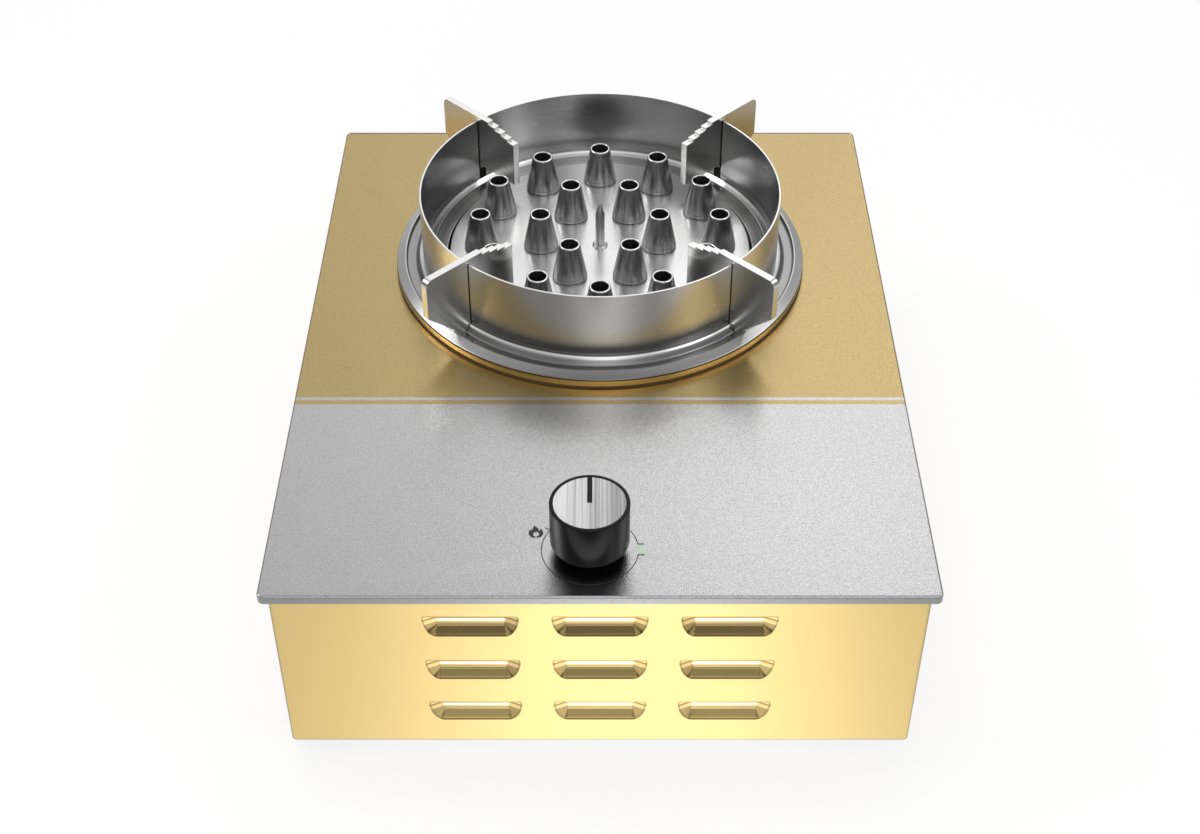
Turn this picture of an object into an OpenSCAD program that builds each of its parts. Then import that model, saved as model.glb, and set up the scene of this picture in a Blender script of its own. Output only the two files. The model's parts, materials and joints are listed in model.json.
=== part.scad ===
/* [Worktop plate] */
// Width of the worktop plate, left to right
plate_w = 400; // [380:5:460]
// Depth of the worktop plate, front to rear
plate_d = 500; // [480:5:560]
// Height of the plate's folded rim
plate_rim = 6; // [5:0.5:9]
// Thickness of the plate's sheet
plate_sheet = 1.2; // [1:0.1:2]
// Radius of the plate's corners, seen from above
plate_corner = 4; // [2:0.5:8]
// Width of the drip tray's edge that lies on the plate, round the cut-out
tray_overlap = 32.5; // [30:0.5:33.5]

/* [Housing] */
// Overhang of the plate past the housing, all round
case_inset = 5; // [4:0.5:10]
// Height of the housing that shows under the plate's rim
case_h = 132; // [120:2:168]
// Thickness of the housing's sheet
case_sheet = 1; // [0.8:0.1:1.4]
// Outer radius of the housing's front corners
case_corner = 3; // [2:0.5:6]
// Width of the folded flanges
flange_w = 12; // [9:1:15]

/* [Louvres] */
// Louvres side by side
louvre_cols = 3; // [1:1:4]
// Louvres above each other
louvre_rows = 3; // [1:1:3]
// Length of a louvre at its open top edge
louvre_w = 59; // [46:1:70]
// Length of a louvre at its lower edge
louvre_base_w = 40; // [30:1:44]
// Height of a louvre
louvre_h = 17.4; // [14:0.2:22]
// Depth that a louvre is pressed inwards
louvre_depth = 3; // [2:0.5:6]
// Distance from louvre to louvre, sideways
louvre_pitch_x = 77; // [72:1:90]
// Distance from louvre to louvre, up and down
louvre_pitch_z = 38.8; // [30:0.2:40]
// Distance from the plate's rim to the first louvre
louvre_drop = 16.8; // [12:0.2:20]

/* [Feet] */
// Height of a rubber foot
foot_h = 8; // [7:0.5:14]
// Radius of a rubber foot at its top
foot_r = 13; // [11:0.5:16]
// Distance from the housing's sides to a foot's centre
foot_inset = 32; // [28:1:45]

/* [Burner head] */
// Distance from the plate's front edge to the burner's centre
burner_back = 331.7; // [325:0.5:335]
// Distance from the tray's outer edge to the burner head
burner_inset = 38; // [37:0.25:39]
// Height of the burner's disc above the plate
burner_rise = 11.5; // [10.5:0.5:13]
// Depth of the mixing chamber below the plate
pan_drop = 46; // [44:1:52]
// Thickness of the burner's sheet
burner_sheet = 1.5; // [1.2:0.1:2]
// Height of the disc's turned-down skirt
cap_skirt = 10; // [8:0.5:12]

/* [Nozzles] */
// Nozzles in the outer circle
outer_count = 12; // [8:1:14]
// Distance from the burner head's edge to the outer circle of nozzles
nozzle_inset = 22.5; // [18:0.5:27]
// Nozzles in the inner circle
inner_count = 6; // [3:1:7]
// Radius of the inner circle of nozzles, as a share of the outer one's
inner_share = 0.498; // [0.48:0.002:0.54]
// Radius of a nozzle at its base
nozzle_base_r = 12.3; // [11:0.1:13]
// Outer radius of a nozzle at its mouth
nozzle_top_r = 7.25; // [6.5:0.05:8]
// Radius of a nozzle's bore at its mouth
nozzle_bore_r = 6; // [5:0.1:6.2]
// Height of a nozzle above the disc
nozzle_h = 27.3; // [22:0.5:32]

/* [Centre pin] */
// Radius of the ignition pin
pin_r = 3.25; // [2.5:0.05:3.5]
// Height of the pin's tip above the disc
pin_h = 36.5; // [30:0.5:42]
// Length of the pin's pointed tip
pin_tip = 9; // [6:0.5:12]
// Radius of the collar round the pin
pin_collar_r = 5.4; // [5.2:0.05:6]

/* [Drip tray] */
// Outer radius of the drip tray
tray_r = 145; // [143.5:0.25:148]
// Height of the tray's outer edge above the plate
tray_edge_h = 7; // [6:0.5:8]
// Height of the tray's rim above the plate
tray_rim_h = 10.2; // [9.5:0.2:11.4]
// Height of the tray's outer trough above the plate
tray_trough_h = 7.4; // [6:0.2:8]
// Height of the bead that carries the ring
tray_bead_h = 12.6; // [12.2:0.2:14]
// Height of the tray's inner band above the plate
tray_band_h = 9.6; // [8.6:0.2:10.6]
// Thickness of the tray's sheet
tray_sheet = 1; // [0.8:0.1:1.2]
// Thickness of the gasket under the tray
gasket_t = 1.2; // [1:0.1:2]

/* [Wok ring] */
// Distance from the tray's outer edge to the ring
ring_inset = 19; // [18.5:0.25:19.5]
// Thickness of the ring's wall
ring_wall = 1.5; // [1.2:0.1:2]
// Height of the ring's rim above the plate
ring_top = 61; // [55:0.5:68]
// Height of the lower band that the arms sit on, above the bead
ring_band = 7.5; // [6:0.5:10]

/* [Wok arms] */
// Number of arms
arm_count = 4; // [3:1:4]
// Thickness of an arm
arm_t = 5.2; // [3:0.1:6]
// Distance that an arm reaches out past the ring
arm_reach = 36; // [28:0.5:44]
// Distance that an arm reaches in past the ring
arm_overhang = 39.8; // [32:0.2:46]
// Height of an arm's outer corner above the ring's rim
arm_rise = 4; // [3:0.5:6]
// Drop of an arm's top edge from its outer corner to the steps
arm_slope = 0.2; // [0.2:0.2:3]
// Steps in an arm's inner end
step_count = 4; // [3:1:5]
// Length of one step
step_w = 6.7; // [3.5:0.1:7]
// Drop of one step
step_h = 1.9; // [0.8:0.1:2.2]
// Radius of an arm's outer top corner
arm_corner = 5; // [3:0.5:8]
// Height that the ring lifts off the tray
ring_lift = 70; // [40:5:90]

/* [Knob] */
// Sideways place of the knob, from the plate's middle
knob_x = -6; // [-20:1:20]
// Distance from the plate's front edge to the knob's centre
knob_back = 38.65; // [38:0.5:60]
// Radius of the knob
knob_r = 23.8; // [20:0.2:26]
// Height of the knob's top above the plate
knob_top = 38.9; // [34:0.5:44]
// Gap between the plate and the knob
knob_gap = 6; // [4:0.1:7]
// Distance that the knob presses in
knob_press = 3; // [2:0.25:3]
// Width of the knob's rim round its cap
knob_rim = 2.2; // [1.6:0.1:3]
// Width of the pointer
pointer_w = 2.7; // [2:0.1:4]

/* [Gas valve] */
// Depth of the valve's axis below the plate's top
valve_drop = 30; // [29:0.5:34]
// Width of the valve's block, left to right
valve_w = 30; // [28:1:36]
// Depth of the valve's block, front to rear
valve_d = 26; // [24:1:30]
// Height of the valve's block
valve_h = 22; // [20:0.5:23]
// Radius of the turning plug
plug_r = 7; // [6.6:0.1:7.4]
// Radius of the knob's stem
stem_r = 4; // [3.5:0.1:4.2]

/* [Gas line] */
// Radius of the gas pipe
pipe_r = 4; // [3:0.25:4.5]
// Radius of the pipe's bend
pipe_bend_r = 20; // [14:1:30]
// Distance from the plate's side to the gas inlet
inlet_side = 50; // [40:2:60]
// Radius of the hose spigot
spigot_r = 4.9; // [4.5:0.1:5.2]
// Length of the hose spigot
spigot_len = 15; // [12:1:20]
// Radius of the mixing tube at the burner
tube_r = 11; // [10:0.25:12]
// Inner radius of the mixing tube's throat
throat_r = 7; // [6:0.25:7.5]

/* [Battery and igniter] */
// Radius of the battery cell
cell_r = 16.6; // [13:0.1:17]
// Length of the battery cell
cell_len = 61; // [50:0.5:62]
// Distance from the plate's side to the middle of the battery box
battery_side = 82; // [70:2:100]
// Width of the igniter's case
igniter_w = 62; // [50:1:70]
// Depth of the igniter's case
igniter_d = 44; // [36:1:50]
// Height of the igniter's case
igniter_h = 28; // [22:1:32]

/* [Hidden] */
$fn = 96;

// Clearances and the overrun of cuts
fit = 0.1;
running_fit = 0.05;
sheet_fit = 0.2;
seat_gap = 0.3;
cut = 1;

// Circles with fewer sides: small screws, and hexagons
small_sides = 32;
hex_sides = 6;
edge_sides = 8;

// Heights above the floor
case_z = foot_h;
rim_z = case_z + case_h;
top_z = rim_z + plate_rim;
sheet_z = top_z - plate_sheet;

// Housing, as seen from above
case_w = plate_w - 2 * case_inset;
case_d = plate_d - 2 * case_inset;
inner_w = case_w - 2 * case_sheet;
rim_return_gap = 0.5;
rear_inset = 1;
rear_y = case_d / 2 - rear_inset;
inlet_x = plate_w / 2 - inlet_side;
battery_x = battery_side - plate_w / 2;
flange_gap = 1.5;

// The origin lies under the middle of the whole box, hose spigot included
nut_t = 5;
spigot_shoulder = 3;
spigot_end = rear_y + nut_t + spigot_shoulder + spigot_len;
mid_y = -max(0, spigot_end - plate_d / 2) / 2;

// Feet
foot_low_r = foot_r - 2;
foot_screw_r = 2;
foot_head_r = 3.8;
foot_head_t = 2.4;
foot_recess_r = foot_head_r + 1.2;
foot_recess_h = 3.6;
foot_nut_r = 4;
foot_nut_t = 3.2;
foot_x = case_w / 2 - foot_inset;
foot_y = case_d / 2 - foot_inset;

// Vents in the base and the rear panel
vent_w = 4;
vent_len = 50;
vent_pitch = 14;
vent_count = 6;
vent_y = -60;
rear_vent_w = 3.6;
rear_vent_h = 34;
rear_vent_pitch = 11;
rear_vent_count = 11;
rear_vent_x = 22;
rear_vent_z = 56;

// Screws of the housing, three to a side
case_screw_r = 1.5;
case_head_r = 2.9;
case_head_t = 1.6;
case_screw_len = 5;
case_screw_z = case_z + flange_w / 2 + case_sheet;
case_screw_share = [-0.36, 0, 0.36];
rear_screw_y = rear_y - case_sheet - flange_w / 2;
rear_screw_z = rim_z - flange_w;

// Burner head
burner_y = burner_back - plate_d / 2;
cap_edge = 1;
burner_r = tray_r - burner_inset;
outer_ring_r = burner_r - nozzle_inset;
inner_ring_r = outer_ring_r * inner_share;
plate_hole_r = tray_r - tray_overlap;
pan_r = burner_r - burner_sheet - fit;
pan_top = burner_rise - burner_sheet;
nozzle_wall = 1.25;
nozzle_foot = 1.4;
nozzle_foot_cut = 0.9;
nozzle_spigot_r = nozzle_base_r - 2.6;
nozzle_spigot_len = burner_sheet + 1;
pin_tip_r = 0.7;
collar_h = 1.7;
insulator_r = 5;
insulator_tail = 7;
pin_tail = 5;

// Brackets under the mixing chamber
pan_bracket_inset = 33.4;
pan_bracket_x = pan_r - pan_bracket_inset;
pan_bracket_len = 60;
bracket_sheet = 1.5;
bracket_foot = 18;
bracket_screw_r = 2;
bracket_head_r = 3.6;
bracket_head_t = 2;
bracket_screw_len = 4;
bracket_screw_share = 0.3;

// Drip tray: radii of the bends, from the rim inwards
ring_r = tray_r - ring_inset;
rim_slope = 5.8;
rim_flat = 1;
rim_lip = 0.8;
rim_flat_r = tray_r - rim_slope;
rim_lip_r = rim_flat_r - rim_flat;
trough_out_r = rim_lip_r - rim_lip;
bead_out_r = ring_r + 5;
bead_slope_r = ring_r + 2.4;
bead_top_r = ring_r + 1.4;
bead_in_r = ring_r - 3.6;
bead_in_slope_r = ring_r - 4.6;
band_out_r = ring_r - 5.6;
bead_step = 1;
tray_hole_r = burner_r + 1.6;
tray_collar_h = 5;
gasket_in_r = tray_r - 4;
gasket_out_r = tray_r + 0.3;

// Wok ring and its arms
ring_low = tray_bead_h;
slot_low = ring_low + ring_band;
arm_top = ring_top + arm_rise;
arm_step_z = arm_top - arm_slope;
arm_outer_r = ring_r + arm_reach;
arm_inner_r = ring_r - arm_overhang;
arm_end_h = 30;
arm_end_r = arm_inner_r + step_count * step_w;
arm_foot_out_r = trough_out_r - 1;
arm_foot_in_r = bead_out_r + 0.4;
arm_foot_z = tray_trough_h + fit;
arm_heel_z = arm_foot_z + 3;
arm_drop_z = arm_top - arm_end_h;
arm_inner_low = slot_low + 3;
arm_first_angle = 45;

// Knob, its stem and the valve below, heights from the plate's top
knob_y = knob_back - plate_d / 2;
knob_taper_h = 3.5;
knob_taper = 2;
knob_edge = 0.6;
knob_wall = 2.4;
knob_deck = 4;
knob_cap_t = 1.2;
pointer_t = 0.6;
hub_r = 8;
hub_low = knob_gap + 2;
hub_depth = 24;
stem_flat = 1;
stem_flat_len = 16;
bush_r = 8;
bush_flange_r = bush_r + 2;
bush_flange_t = 1;
bush_gap = 0.4;

valve_z = -valve_drop;
valve_top = valve_z + valve_h / 2;
valve_low = valve_z - valve_h / 2;
valve_floor = 3;
plug_top = valve_top - 3;
plug_low = valve_low + valve_floor + seat_gap;
slot_depth = 6;
tang_t = 2.4;
tang_w = 8.4;
tang_low = plug_top - slot_depth + knob_press + 0.4;
gas_way_r = 2.5;
bonnet_bore_r = plug_r + 0.5;
bonnet_r = bonnet_bore_r + 2.5;
bonnet_flange_t = 2;
washer_t = 1;
washer_low = valve_top + bonnet_flange_t + knob_press + 0.4;
washer_in_r = tang_w / 2 + 0.5;
washer_out_r = bonnet_bore_r - seat_gap;
stem_collar_t = 2;
stem_collar_low = washer_low + washer_t + fit;
stem_collar_top = stem_collar_low + stem_collar_t;
bonnet_roof = stem_collar_top + fit;
bonnet_roof_t = 3;
bonnet_top = bonnet_roof + bonnet_roof_t;
bonnet_screw_r = 1.5;
bonnet_head_r = 2.6;
bonnet_head_t = 2;
bonnet_screw_x = valve_w / 2 - 3;
bonnet_screw_y = valve_d / 2 - 3;
bonnet_screw_len = 7;

spring_wire_r = 0.5;
spring_r = plug_r - 1.7;
spring_turns = 4;
spring_low = plug_top + spring_wire_r + fit;
spring_top = washer_low - spring_wire_r - fit;
spring_rings = 8;
spring_ring_sides = 6;

ear_w = 4;
switch_w = 12;
switch_d = 16;
switch_h = 16;
button_r = 1.8;
button_tail = 5;
switch_top = washer_low - knob_press - 1;
button_x = -valve_w / 2 - switch_w / 2;
ear_reach = -button_x + button_r;

boss_r = 8;
boss_len = 8;
boss_in_len = 6;
valve_bracket_w = 26;

// Injector, air shutter and mixing tube, along +Y from the valve
injector_hex_r = 7;
injector_hex_len = 12;
journal_r = 6;
journal_len = 3;
injector_tip_r = 4;
injector_tip_len = 7;
jet_r = 0.7;
jet_bore_r = 2;
thread_r = 4;
shutter_r = 17;
shutter_t = 2;
shutter_play = 0.5;
shutter_tab_w = 6;
shutter_tab_len = 8;
air_hole_r = 2.8;
air_circle_r = 11;
air_holes = 4;
mouth_r = 15;
mouth_wall = 1.5;
mouth_len = 4;
throat_at = 26;
throat_len = 12;
diffuser_at = 84;
tube_wall = 1.5;
tube_reach = 6;
tube_bracket_share = 0.72;
tube_bracket_w = 34;
tube_ear = 5;

injector_y = valve_d / 2 + boss_len;
journal_y = injector_y + injector_hex_len;
mouth_y = journal_y + journal_len;
tube_end_y = burner_y - knob_y - pan_r + tube_reach;
tube_len = tube_end_y - mouth_y;
tube_bracket_y = mouth_y + tube_len * tube_bracket_share;

// Gas line, from the valve's side to the rear panel
pipe_wall = 1;
pipe_nut_r = 8.2;
pipe_nut_len = 9;
inlet_boss_x = valve_w / 2 + boss_len;
inlet_hex_r = 10;
inlet_hex_len = 12;
inlet_body_r = 7;
inlet_bore_r = 3;
spigot_tip = 1;
inlet_nut_r = 11;

// Battery box, its lid and the cell
box_wall = 2;
box_gap = 1;
box_rise = 22;
box_z = case_z + case_sheet + box_rise;
box_in_w = cell_len + 2 * box_gap + 2;
box_in_h = 2 * cell_r + 2 * box_gap;
box_spare = 6;
box_depth = 2 * cell_r + box_spare;
box_frame = 4;
box_frame_t = 1.5;
lid_t = 2;
lid_gap = 0.3;
barrel_r = 2;
lid_pin_r = 1.2;
lid_pin_len = 1.6;
lid_inset = 1.5;
lid_grip_w = 14;
lid_grip_t = 1.2;
lid_grip_h = 3;

// Igniter
igniter_side = 82;
igniter_back = 132;
igniter_x = igniter_side - plate_w / 2;
igniter_y = igniter_back - plate_d / 2;
igniter_wall_r = 4;
socket_r = 3;
socket_h = 4;
socket_x = 18;
ear_len = 8;
ear_t = 2;

// Leads
lead_r = 1.8;
thin_lead_r = 1.4;
lead_sides = 8;
lead_steps = 8;

// Finishes
gold = "khaki";
satin = "silver";
steel = "lightgray";
dark_steel = "dimgray";
rubber_black = "#222222";
brass = "goldenrod";

// Least radius left in the inner corner of a folded sheet
least_corner = 0.2;
plate_in_corner = max(plate_corner - plate_sheet, least_corner);
case_in_corner = max(case_corner - case_sheet, least_corner);

// Extents of the base plate and the rear panel inside the shell
base_front = -case_d / 2 + case_sheet + sheet_fit;
base_rear = rear_y - case_sheet - sheet_fit;
base_d = base_rear - base_front;
base_mid = (base_rear + base_front) / 2;
base_w = inner_w - 2 * sheet_fit;
floor_z = case_z + case_sheet;
rear_top_z = sheet_z - case_sheet - sheet_fit;
rear_flange_z = case_z + flange_w + flange_gap;
rear_low_screw_z = rear_flange_z + flange_w / 2;

// Battery box, as seen from behind
box_w = box_in_w + 2 * box_wall;
box_h = box_in_h + 2 * box_wall;
box_mid_z = box_z + box_h / 2;
box_front = rear_y - box_depth;
lid_axis_y = rear_y - lid_inset;
lid_axis_z = box_z + box_wall + lid_gap + barrel_r;
lid_w = box_in_w - 2 * lid_gap;
lid_top = box_z + box_h - box_wall - lid_gap;

// Places of the screws that go down into the base: x, y and height of the head's seat
valve_bracket_y = knob_y - valve_d / 2;
tube_bracket_face = knob_y + tube_bracket_y;
base_screws = concat(
  [for (sx = [-1, 1], sy = [-1, 1])
    [sx * (pan_bracket_x + bracket_foot / 2),
     burner_y + sy * pan_bracket_len * bracket_screw_share,
     floor_z + bracket_sheet]],
  [for (sx = [-1, 1])
    [knob_x + sx * valve_bracket_w * bracket_screw_share,
     valve_bracket_y + bracket_sheet + bracket_foot / 2,
     floor_z + bracket_sheet]],
  [for (sx = [-1, 1])
    [knob_x + sx * tube_bracket_w * bracket_screw_share,
     tube_bracket_face + bracket_sheet + bracket_foot / 2,
     floor_z + bracket_sheet]],
  [for (sx = [-1, 1])
    [igniter_x + sx * (igniter_w + ear_len) / 2,
     igniter_y,
     floor_z + ear_t]]
);

// Places of the side screws: distance from front to rear, and height
side_screws = concat(
  [for (share = case_screw_share) [case_d * share, case_screw_z]],
  [[rear_screw_y, rear_screw_z], [rear_screw_y, rear_low_screw_z]]
);

module at_middle() {
  translate([0, mid_y, 0]) children();
}

module at_burner() {
  translate([0, mid_y + burner_y, top_z]) children();
}

module at_knob() {
  translate([knob_x, mid_y + knob_y, top_z]) children();
}

// From the valve's axis towards the rear
module along_gas() {
  at_knob() translate([0, 0, valve_z]) rotate([-90, 0, 0]) children();
}

// From the rear panel's outer face towards the rear, on the inlet's axis
module along_inlet() {
  translate([inlet_x, mid_y + rear_y, top_z + valve_z]) rotate([-90, 0, 0]) children();
}

module rod(r, low, high, sides = $fn) {
  translate([0, 0, low]) cylinder(h = high - low, r = r, $fn = sides);
}

// A box from its two corners
module block(low, high) {
  translate(low) cube(high - low);
}

module tube_ring(r_out, r_in, low, high) {
  difference() {
    rod(r_out, low, high);
    rod(r_in, low - cut, high + cut);
  }
}

module rounded_rect(w, d, r) {
  square([w - 2 * r, d], center = true);
  square([w, d - 2 * r], center = true);
  for (sx = [-1, 1], sy = [-1, 1])
    translate([sx * (w / 2 - r), sy * (d / 2 - r)]) circle(r, $fn = small_sides);
}

// Round corners at the front, square ones at the rear
module case_rect(w, d, r) {
  rounded_rect(w, d, r);
  translate([-w / 2, 0]) square([w, d / 2]);
}

module slot_shape(length, w) {
  square([w, length - w], center = true);
  for (s = [-1, 1]) translate([0, s * (length - w) / 2]) circle(w / 2, $fn = small_sides);
}

module slab(low, high) {
  translate([0, 0, low]) linear_extrude(high - low) children();
}

module top_plate() {
  color(satin) at_middle() difference() {
    slab(rim_z, top_z) rounded_rect(plate_w, plate_d, plate_corner);
    slab(rim_z + plate_sheet, sheet_z)
      rounded_rect(plate_w - 2 * plate_sheet, plate_d - 2 * plate_sheet, plate_in_corner);
    slab(rim_z - cut, sheet_z) rounded_rect(
      case_w + 2 * rim_return_gap, case_d + 2 * rim_return_gap, case_corner + rim_return_gap);
    translate([0, burner_y, 0]) rod(plate_hole_r, rim_z, top_z + cut);
    translate([knob_x, knob_y, 0]) rod(bush_r + fit, rim_z, top_z + cut);
  }
}

// Outline of a louvre below its straight top edge, its lower corners quarter ellipses
louvre_corner_steps = 8;
louvre_land_share = 0.59;
function louvre_corner(side, grow) = [
  for (i = [0:louvre_corner_steps])
    let (a = 90 * (side > 0 ? i : louvre_corner_steps - i) / louvre_corner_steps)
    [side * (louvre_base_w / 2 + ((louvre_w - louvre_base_w) / 2 + grow) * cos(a)),
     -(louvre_h + grow) * sin(a)]
];

module louvre_outline(grow, front, back) {
  translate([0, back, 0]) rotate([90, 0, 0]) linear_extrude(back - front)
    polygon(concat(louvre_corner(1, grow), louvre_corner(-1, grow)));
}

// The ramp that a louvre's floor follows, with a level land at its deep end
module louvre_ramp(grow, front) {
  rotate([90, 0, 90]) linear_extrude(louvre_w + 2 * louvre_depth, center = true) polygon([
    [front, 0],
    [louvre_depth + grow, 0],
    [louvre_depth + grow, -louvre_h * louvre_land_share],
    [grow, -louvre_h - grow],
    [front, -louvre_h - grow]
  ]);
}

module at_louvres() {
  for (col = [0:louvre_cols - 1], row = [0:louvre_rows - 1])
    translate([
      (col - (louvre_cols - 1) / 2) * louvre_pitch_x,
      -case_d / 2,
      rim_z - louvre_drop - row * louvre_pitch_z
    ]) children();
}

module housing_shell() {
  color(gold) at_middle() difference() {
    union() {
      difference() {
        slab(case_z, sheet_z) case_rect(case_w, case_d, case_corner);
        slab(case_z - cut, sheet_z - case_sheet) {
          case_rect(inner_w, case_d - 2 * case_sheet, case_in_corner);
          translate([-inner_w / 2, 0]) square([inner_w, case_d]);
        }
        slab(case_z, sheet_z + cut)
          translate([-inner_w / 2 + flange_w, -case_d / 2 + case_sheet + flange_w])
            square([inner_w - 2 * flange_w, 2 * case_d]);
      }
      at_louvres() intersection() {
        louvre_outline(case_sheet, 0, louvre_depth + case_sheet);
        louvre_ramp(case_sheet, 0);
      }
    }
    at_louvres() intersection() {
      louvre_outline(0, -cut, louvre_depth + cut);
      louvre_ramp(0, -cut);
    }
    for (p = side_screws, sx = [-1, 1])
      translate([sx * case_w / 2, p[0], p[1]]) rotate([0, 90, 0])
        rod(case_screw_r + fit, -flange_w / 2, flange_w / 2, small_sides);
  }
}

module rear_panel() {
  color(gold) at_middle() difference() {
    union() {
      block([-base_w / 2, rear_y - case_sheet, case_z], [base_w / 2, rear_y, rear_top_z]);
      block([-base_w / 2, rear_y - flange_w, rear_top_z - case_sheet],
            [base_w / 2, rear_y, rear_top_z]);
      for (sx = [0, 1]) mirror([sx, 0, 0])
        block([base_w / 2 - case_sheet, rear_y - flange_w, rear_flange_z],
              [base_w / 2, rear_y, rear_top_z]);
    }
    for (i = [0:rear_vent_count - 1])
      translate([rear_vent_x + (i - (rear_vent_count - 1) / 2) * rear_vent_pitch,
                 rear_y + cut, case_z + rear_vent_z])
        rotate([90, 0, 0]) linear_extrude(case_sheet + 2 * cut) slot_shape(rear_vent_h, rear_vent_w);
    translate([battery_x, rear_y, box_mid_z])
      cube([box_w + 2 * fit, 2 * flange_w, box_h + 2 * fit], center = true);
    translate([inlet_x, rear_y, top_z + valve_z]) rotate([-90, 0, 0])
      rod(inlet_body_r + fit, -case_sheet - cut, cut);
    for (p = side_screws, sx = [-1, 1])
      translate([sx * case_w / 2, p[0], p[1]]) rotate([0, 90, 0])
        rod(case_screw_r + fit, -flange_w / 2, flange_w / 2, small_sides);
  }
}

vent_row_share = [-0.3, 0.12];
module base_plate() {
  color(satin) at_middle() difference() {
    translate([0, base_mid, 0]) difference() {
      slab(case_z, case_z + flange_w) case_rect(base_w, base_d, case_in_corner);
      slab(floor_z, case_z + flange_w + cut)
        case_rect(base_w - 2 * case_sheet, base_d - 2 * case_sheet, case_in_corner);
    }
    for (i = [0:vent_count - 1], share = vent_row_share)
      translate([(i - (vent_count - 1) / 2) * vent_pitch, case_d * share, 0])
        slab(case_z - cut, floor_z + cut) slot_shape(vent_len, vent_w);
    for (sx = [-1, 1], sy = [-1, 1]) translate([sx * foot_x, sy * foot_y, 0])
      rod(foot_screw_r + fit, case_z - cut, floor_z + cut, small_sides);
    for (p = base_screws) translate([p[0], p[1], 0])
      rod(bracket_screw_r + fit, case_z - cut, floor_z + cut, small_sides);
    for (p = side_screws, sx = [-1, 1])
      translate([sx * case_w / 2, p[0], p[1]]) rotate([0, 90, 0])
        rod(case_screw_r + fit, -flange_w / 2, flange_w / 2, small_sides);
  }
}

module foot(sx, sy) {
  color(rubber_black) at_middle() translate([sx * foot_x, sy * foot_y, 0]) difference() {
    cylinder(h = foot_h, r1 = foot_low_r, r2 = foot_r);
    rod(foot_screw_r + fit, -cut, foot_h + cut);
    rod(foot_recess_r, -cut, foot_recess_h);
  }
}

module at_feet() {
  at_middle() for (sx = [-1, 1], sy = [-1, 1]) translate([sx * foot_x, sy * foot_y, 0]) children();
}

module foot_screws() {
  color(steel) at_feet() {
    rod(foot_head_r, foot_recess_h - foot_head_t, foot_recess_h);
    rod(foot_screw_r, foot_recess_h - foot_head_t, floor_z + foot_nut_t + foot_screw_r / 2);
  }
}

module foot_nuts() {
  color(steel) at_feet() difference() {
    rod(foot_nut_r, floor_z, floor_z + foot_nut_t, hex_sides);
    rod(foot_screw_r + running_fit, case_z, floor_z + foot_nut_t + cut);
  }
}

module case_screws() {
  color(steel) at_middle() for (p = side_screws, sx = [0, 1]) mirror([sx, 0, 0])
    translate([case_w / 2, p[0], p[1]]) rotate([0, 90, 0]) {
      rod(case_head_r, 0, case_head_t, small_sides);
      rod(case_screw_r, -case_screw_len, case_head_t, small_sides);
    }
}

// A pan-head screw whose head rests at height zero
module base_screw() {
  rod(bracket_head_r, 0, bracket_head_t, small_sides);
  rod(bracket_screw_r, -bracket_screw_len, bracket_head_t, small_sides);
}

module bracket_screws() {
  color(steel) at_middle() for (p = base_screws) translate(p) base_screw();
}

module burner_cap() {
  color(steel) at_burner() difference() {
    rotate_extrude() polygon([
      [insulator_r + fit, burner_rise - burner_sheet],
      [insulator_r + fit, burner_rise],
      [burner_r - cap_edge, burner_rise],
      [burner_r, burner_rise - cap_edge],
      [burner_r, burner_rise - cap_skirt],
      [burner_r - burner_sheet, burner_rise - cap_skirt],
      [burner_r - burner_sheet, burner_rise - burner_sheet]
    ]);
    at_nozzles(outer_count, outer_ring_r) rod(nozzle_spigot_r + fit, -burner_sheet - cut, cut);
    at_nozzles(inner_count, inner_ring_r) rod(nozzle_spigot_r + fit, -burner_sheet - cut, cut);
  }
}

// Chamfer between the chamber's floor and wall
pan_chamfer = 4;
module burner_pan() {
  color(dark_steel) difference() {
    at_burner() rotate_extrude() polygon([
      [insulator_r + fit, -pan_drop],
      [pan_r - pan_chamfer, -pan_drop],
      [pan_r, -pan_drop + pan_chamfer],
      [pan_r, pan_top],
      [pan_r - burner_sheet, pan_top],
      [pan_r - burner_sheet, -pan_drop + pan_chamfer + burner_sheet / 2],
      [pan_r - pan_chamfer - burner_sheet / 2, -pan_drop + burner_sheet],
      [insulator_r + fit, -pan_drop + burner_sheet]
    ]);
    along_gas() rod(tube_r + fit, tube_end_y - 2 * tube_reach, tube_end_y + tube_reach);
  }
}

// Places round a circle, measured from the disc's top
module at_nozzles(count, ring) {
  for (i = [0:count - 1]) rotate([0, 0, 360 * i / count])
    translate([ring, 0, burner_rise]) children();
}

module nozzle() {
  rotate_extrude($fn = 64) polygon([
    [nozzle_top_r, nozzle_h],
    [nozzle_base_r, nozzle_foot],
    [nozzle_base_r - nozzle_foot_cut, 0],
    [nozzle_spigot_r, 0],
    [nozzle_spigot_r, -nozzle_spigot_len],
    [nozzle_spigot_r - nozzle_wall, -nozzle_spigot_len],
    [nozzle_spigot_r - nozzle_wall, 0],
    [nozzle_bore_r, nozzle_h * nozzle_throat_share],
    [nozzle_bore_r, nozzle_h]
  ]);
}
nozzle_throat_share = 0.82;

module outer_nozzles() {
  color(dark_steel) at_burner() at_nozzles(outer_count, outer_ring_r) nozzle();
}

module inner_nozzles() {
  color(dark_steel) at_burner() at_nozzles(inner_count, inner_ring_r) nozzle();
}

module ignition_pin() {
  color(steel) at_burner() {
    rod(pin_r, -pan_drop - insulator_tail - pin_tail, burner_rise + pin_h - pin_tip);
    translate([0, 0, burner_rise + pin_h - pin_tip])
      cylinder(h = pin_tip, r1 = pin_r, r2 = pin_tip_r);
  }
}

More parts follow.
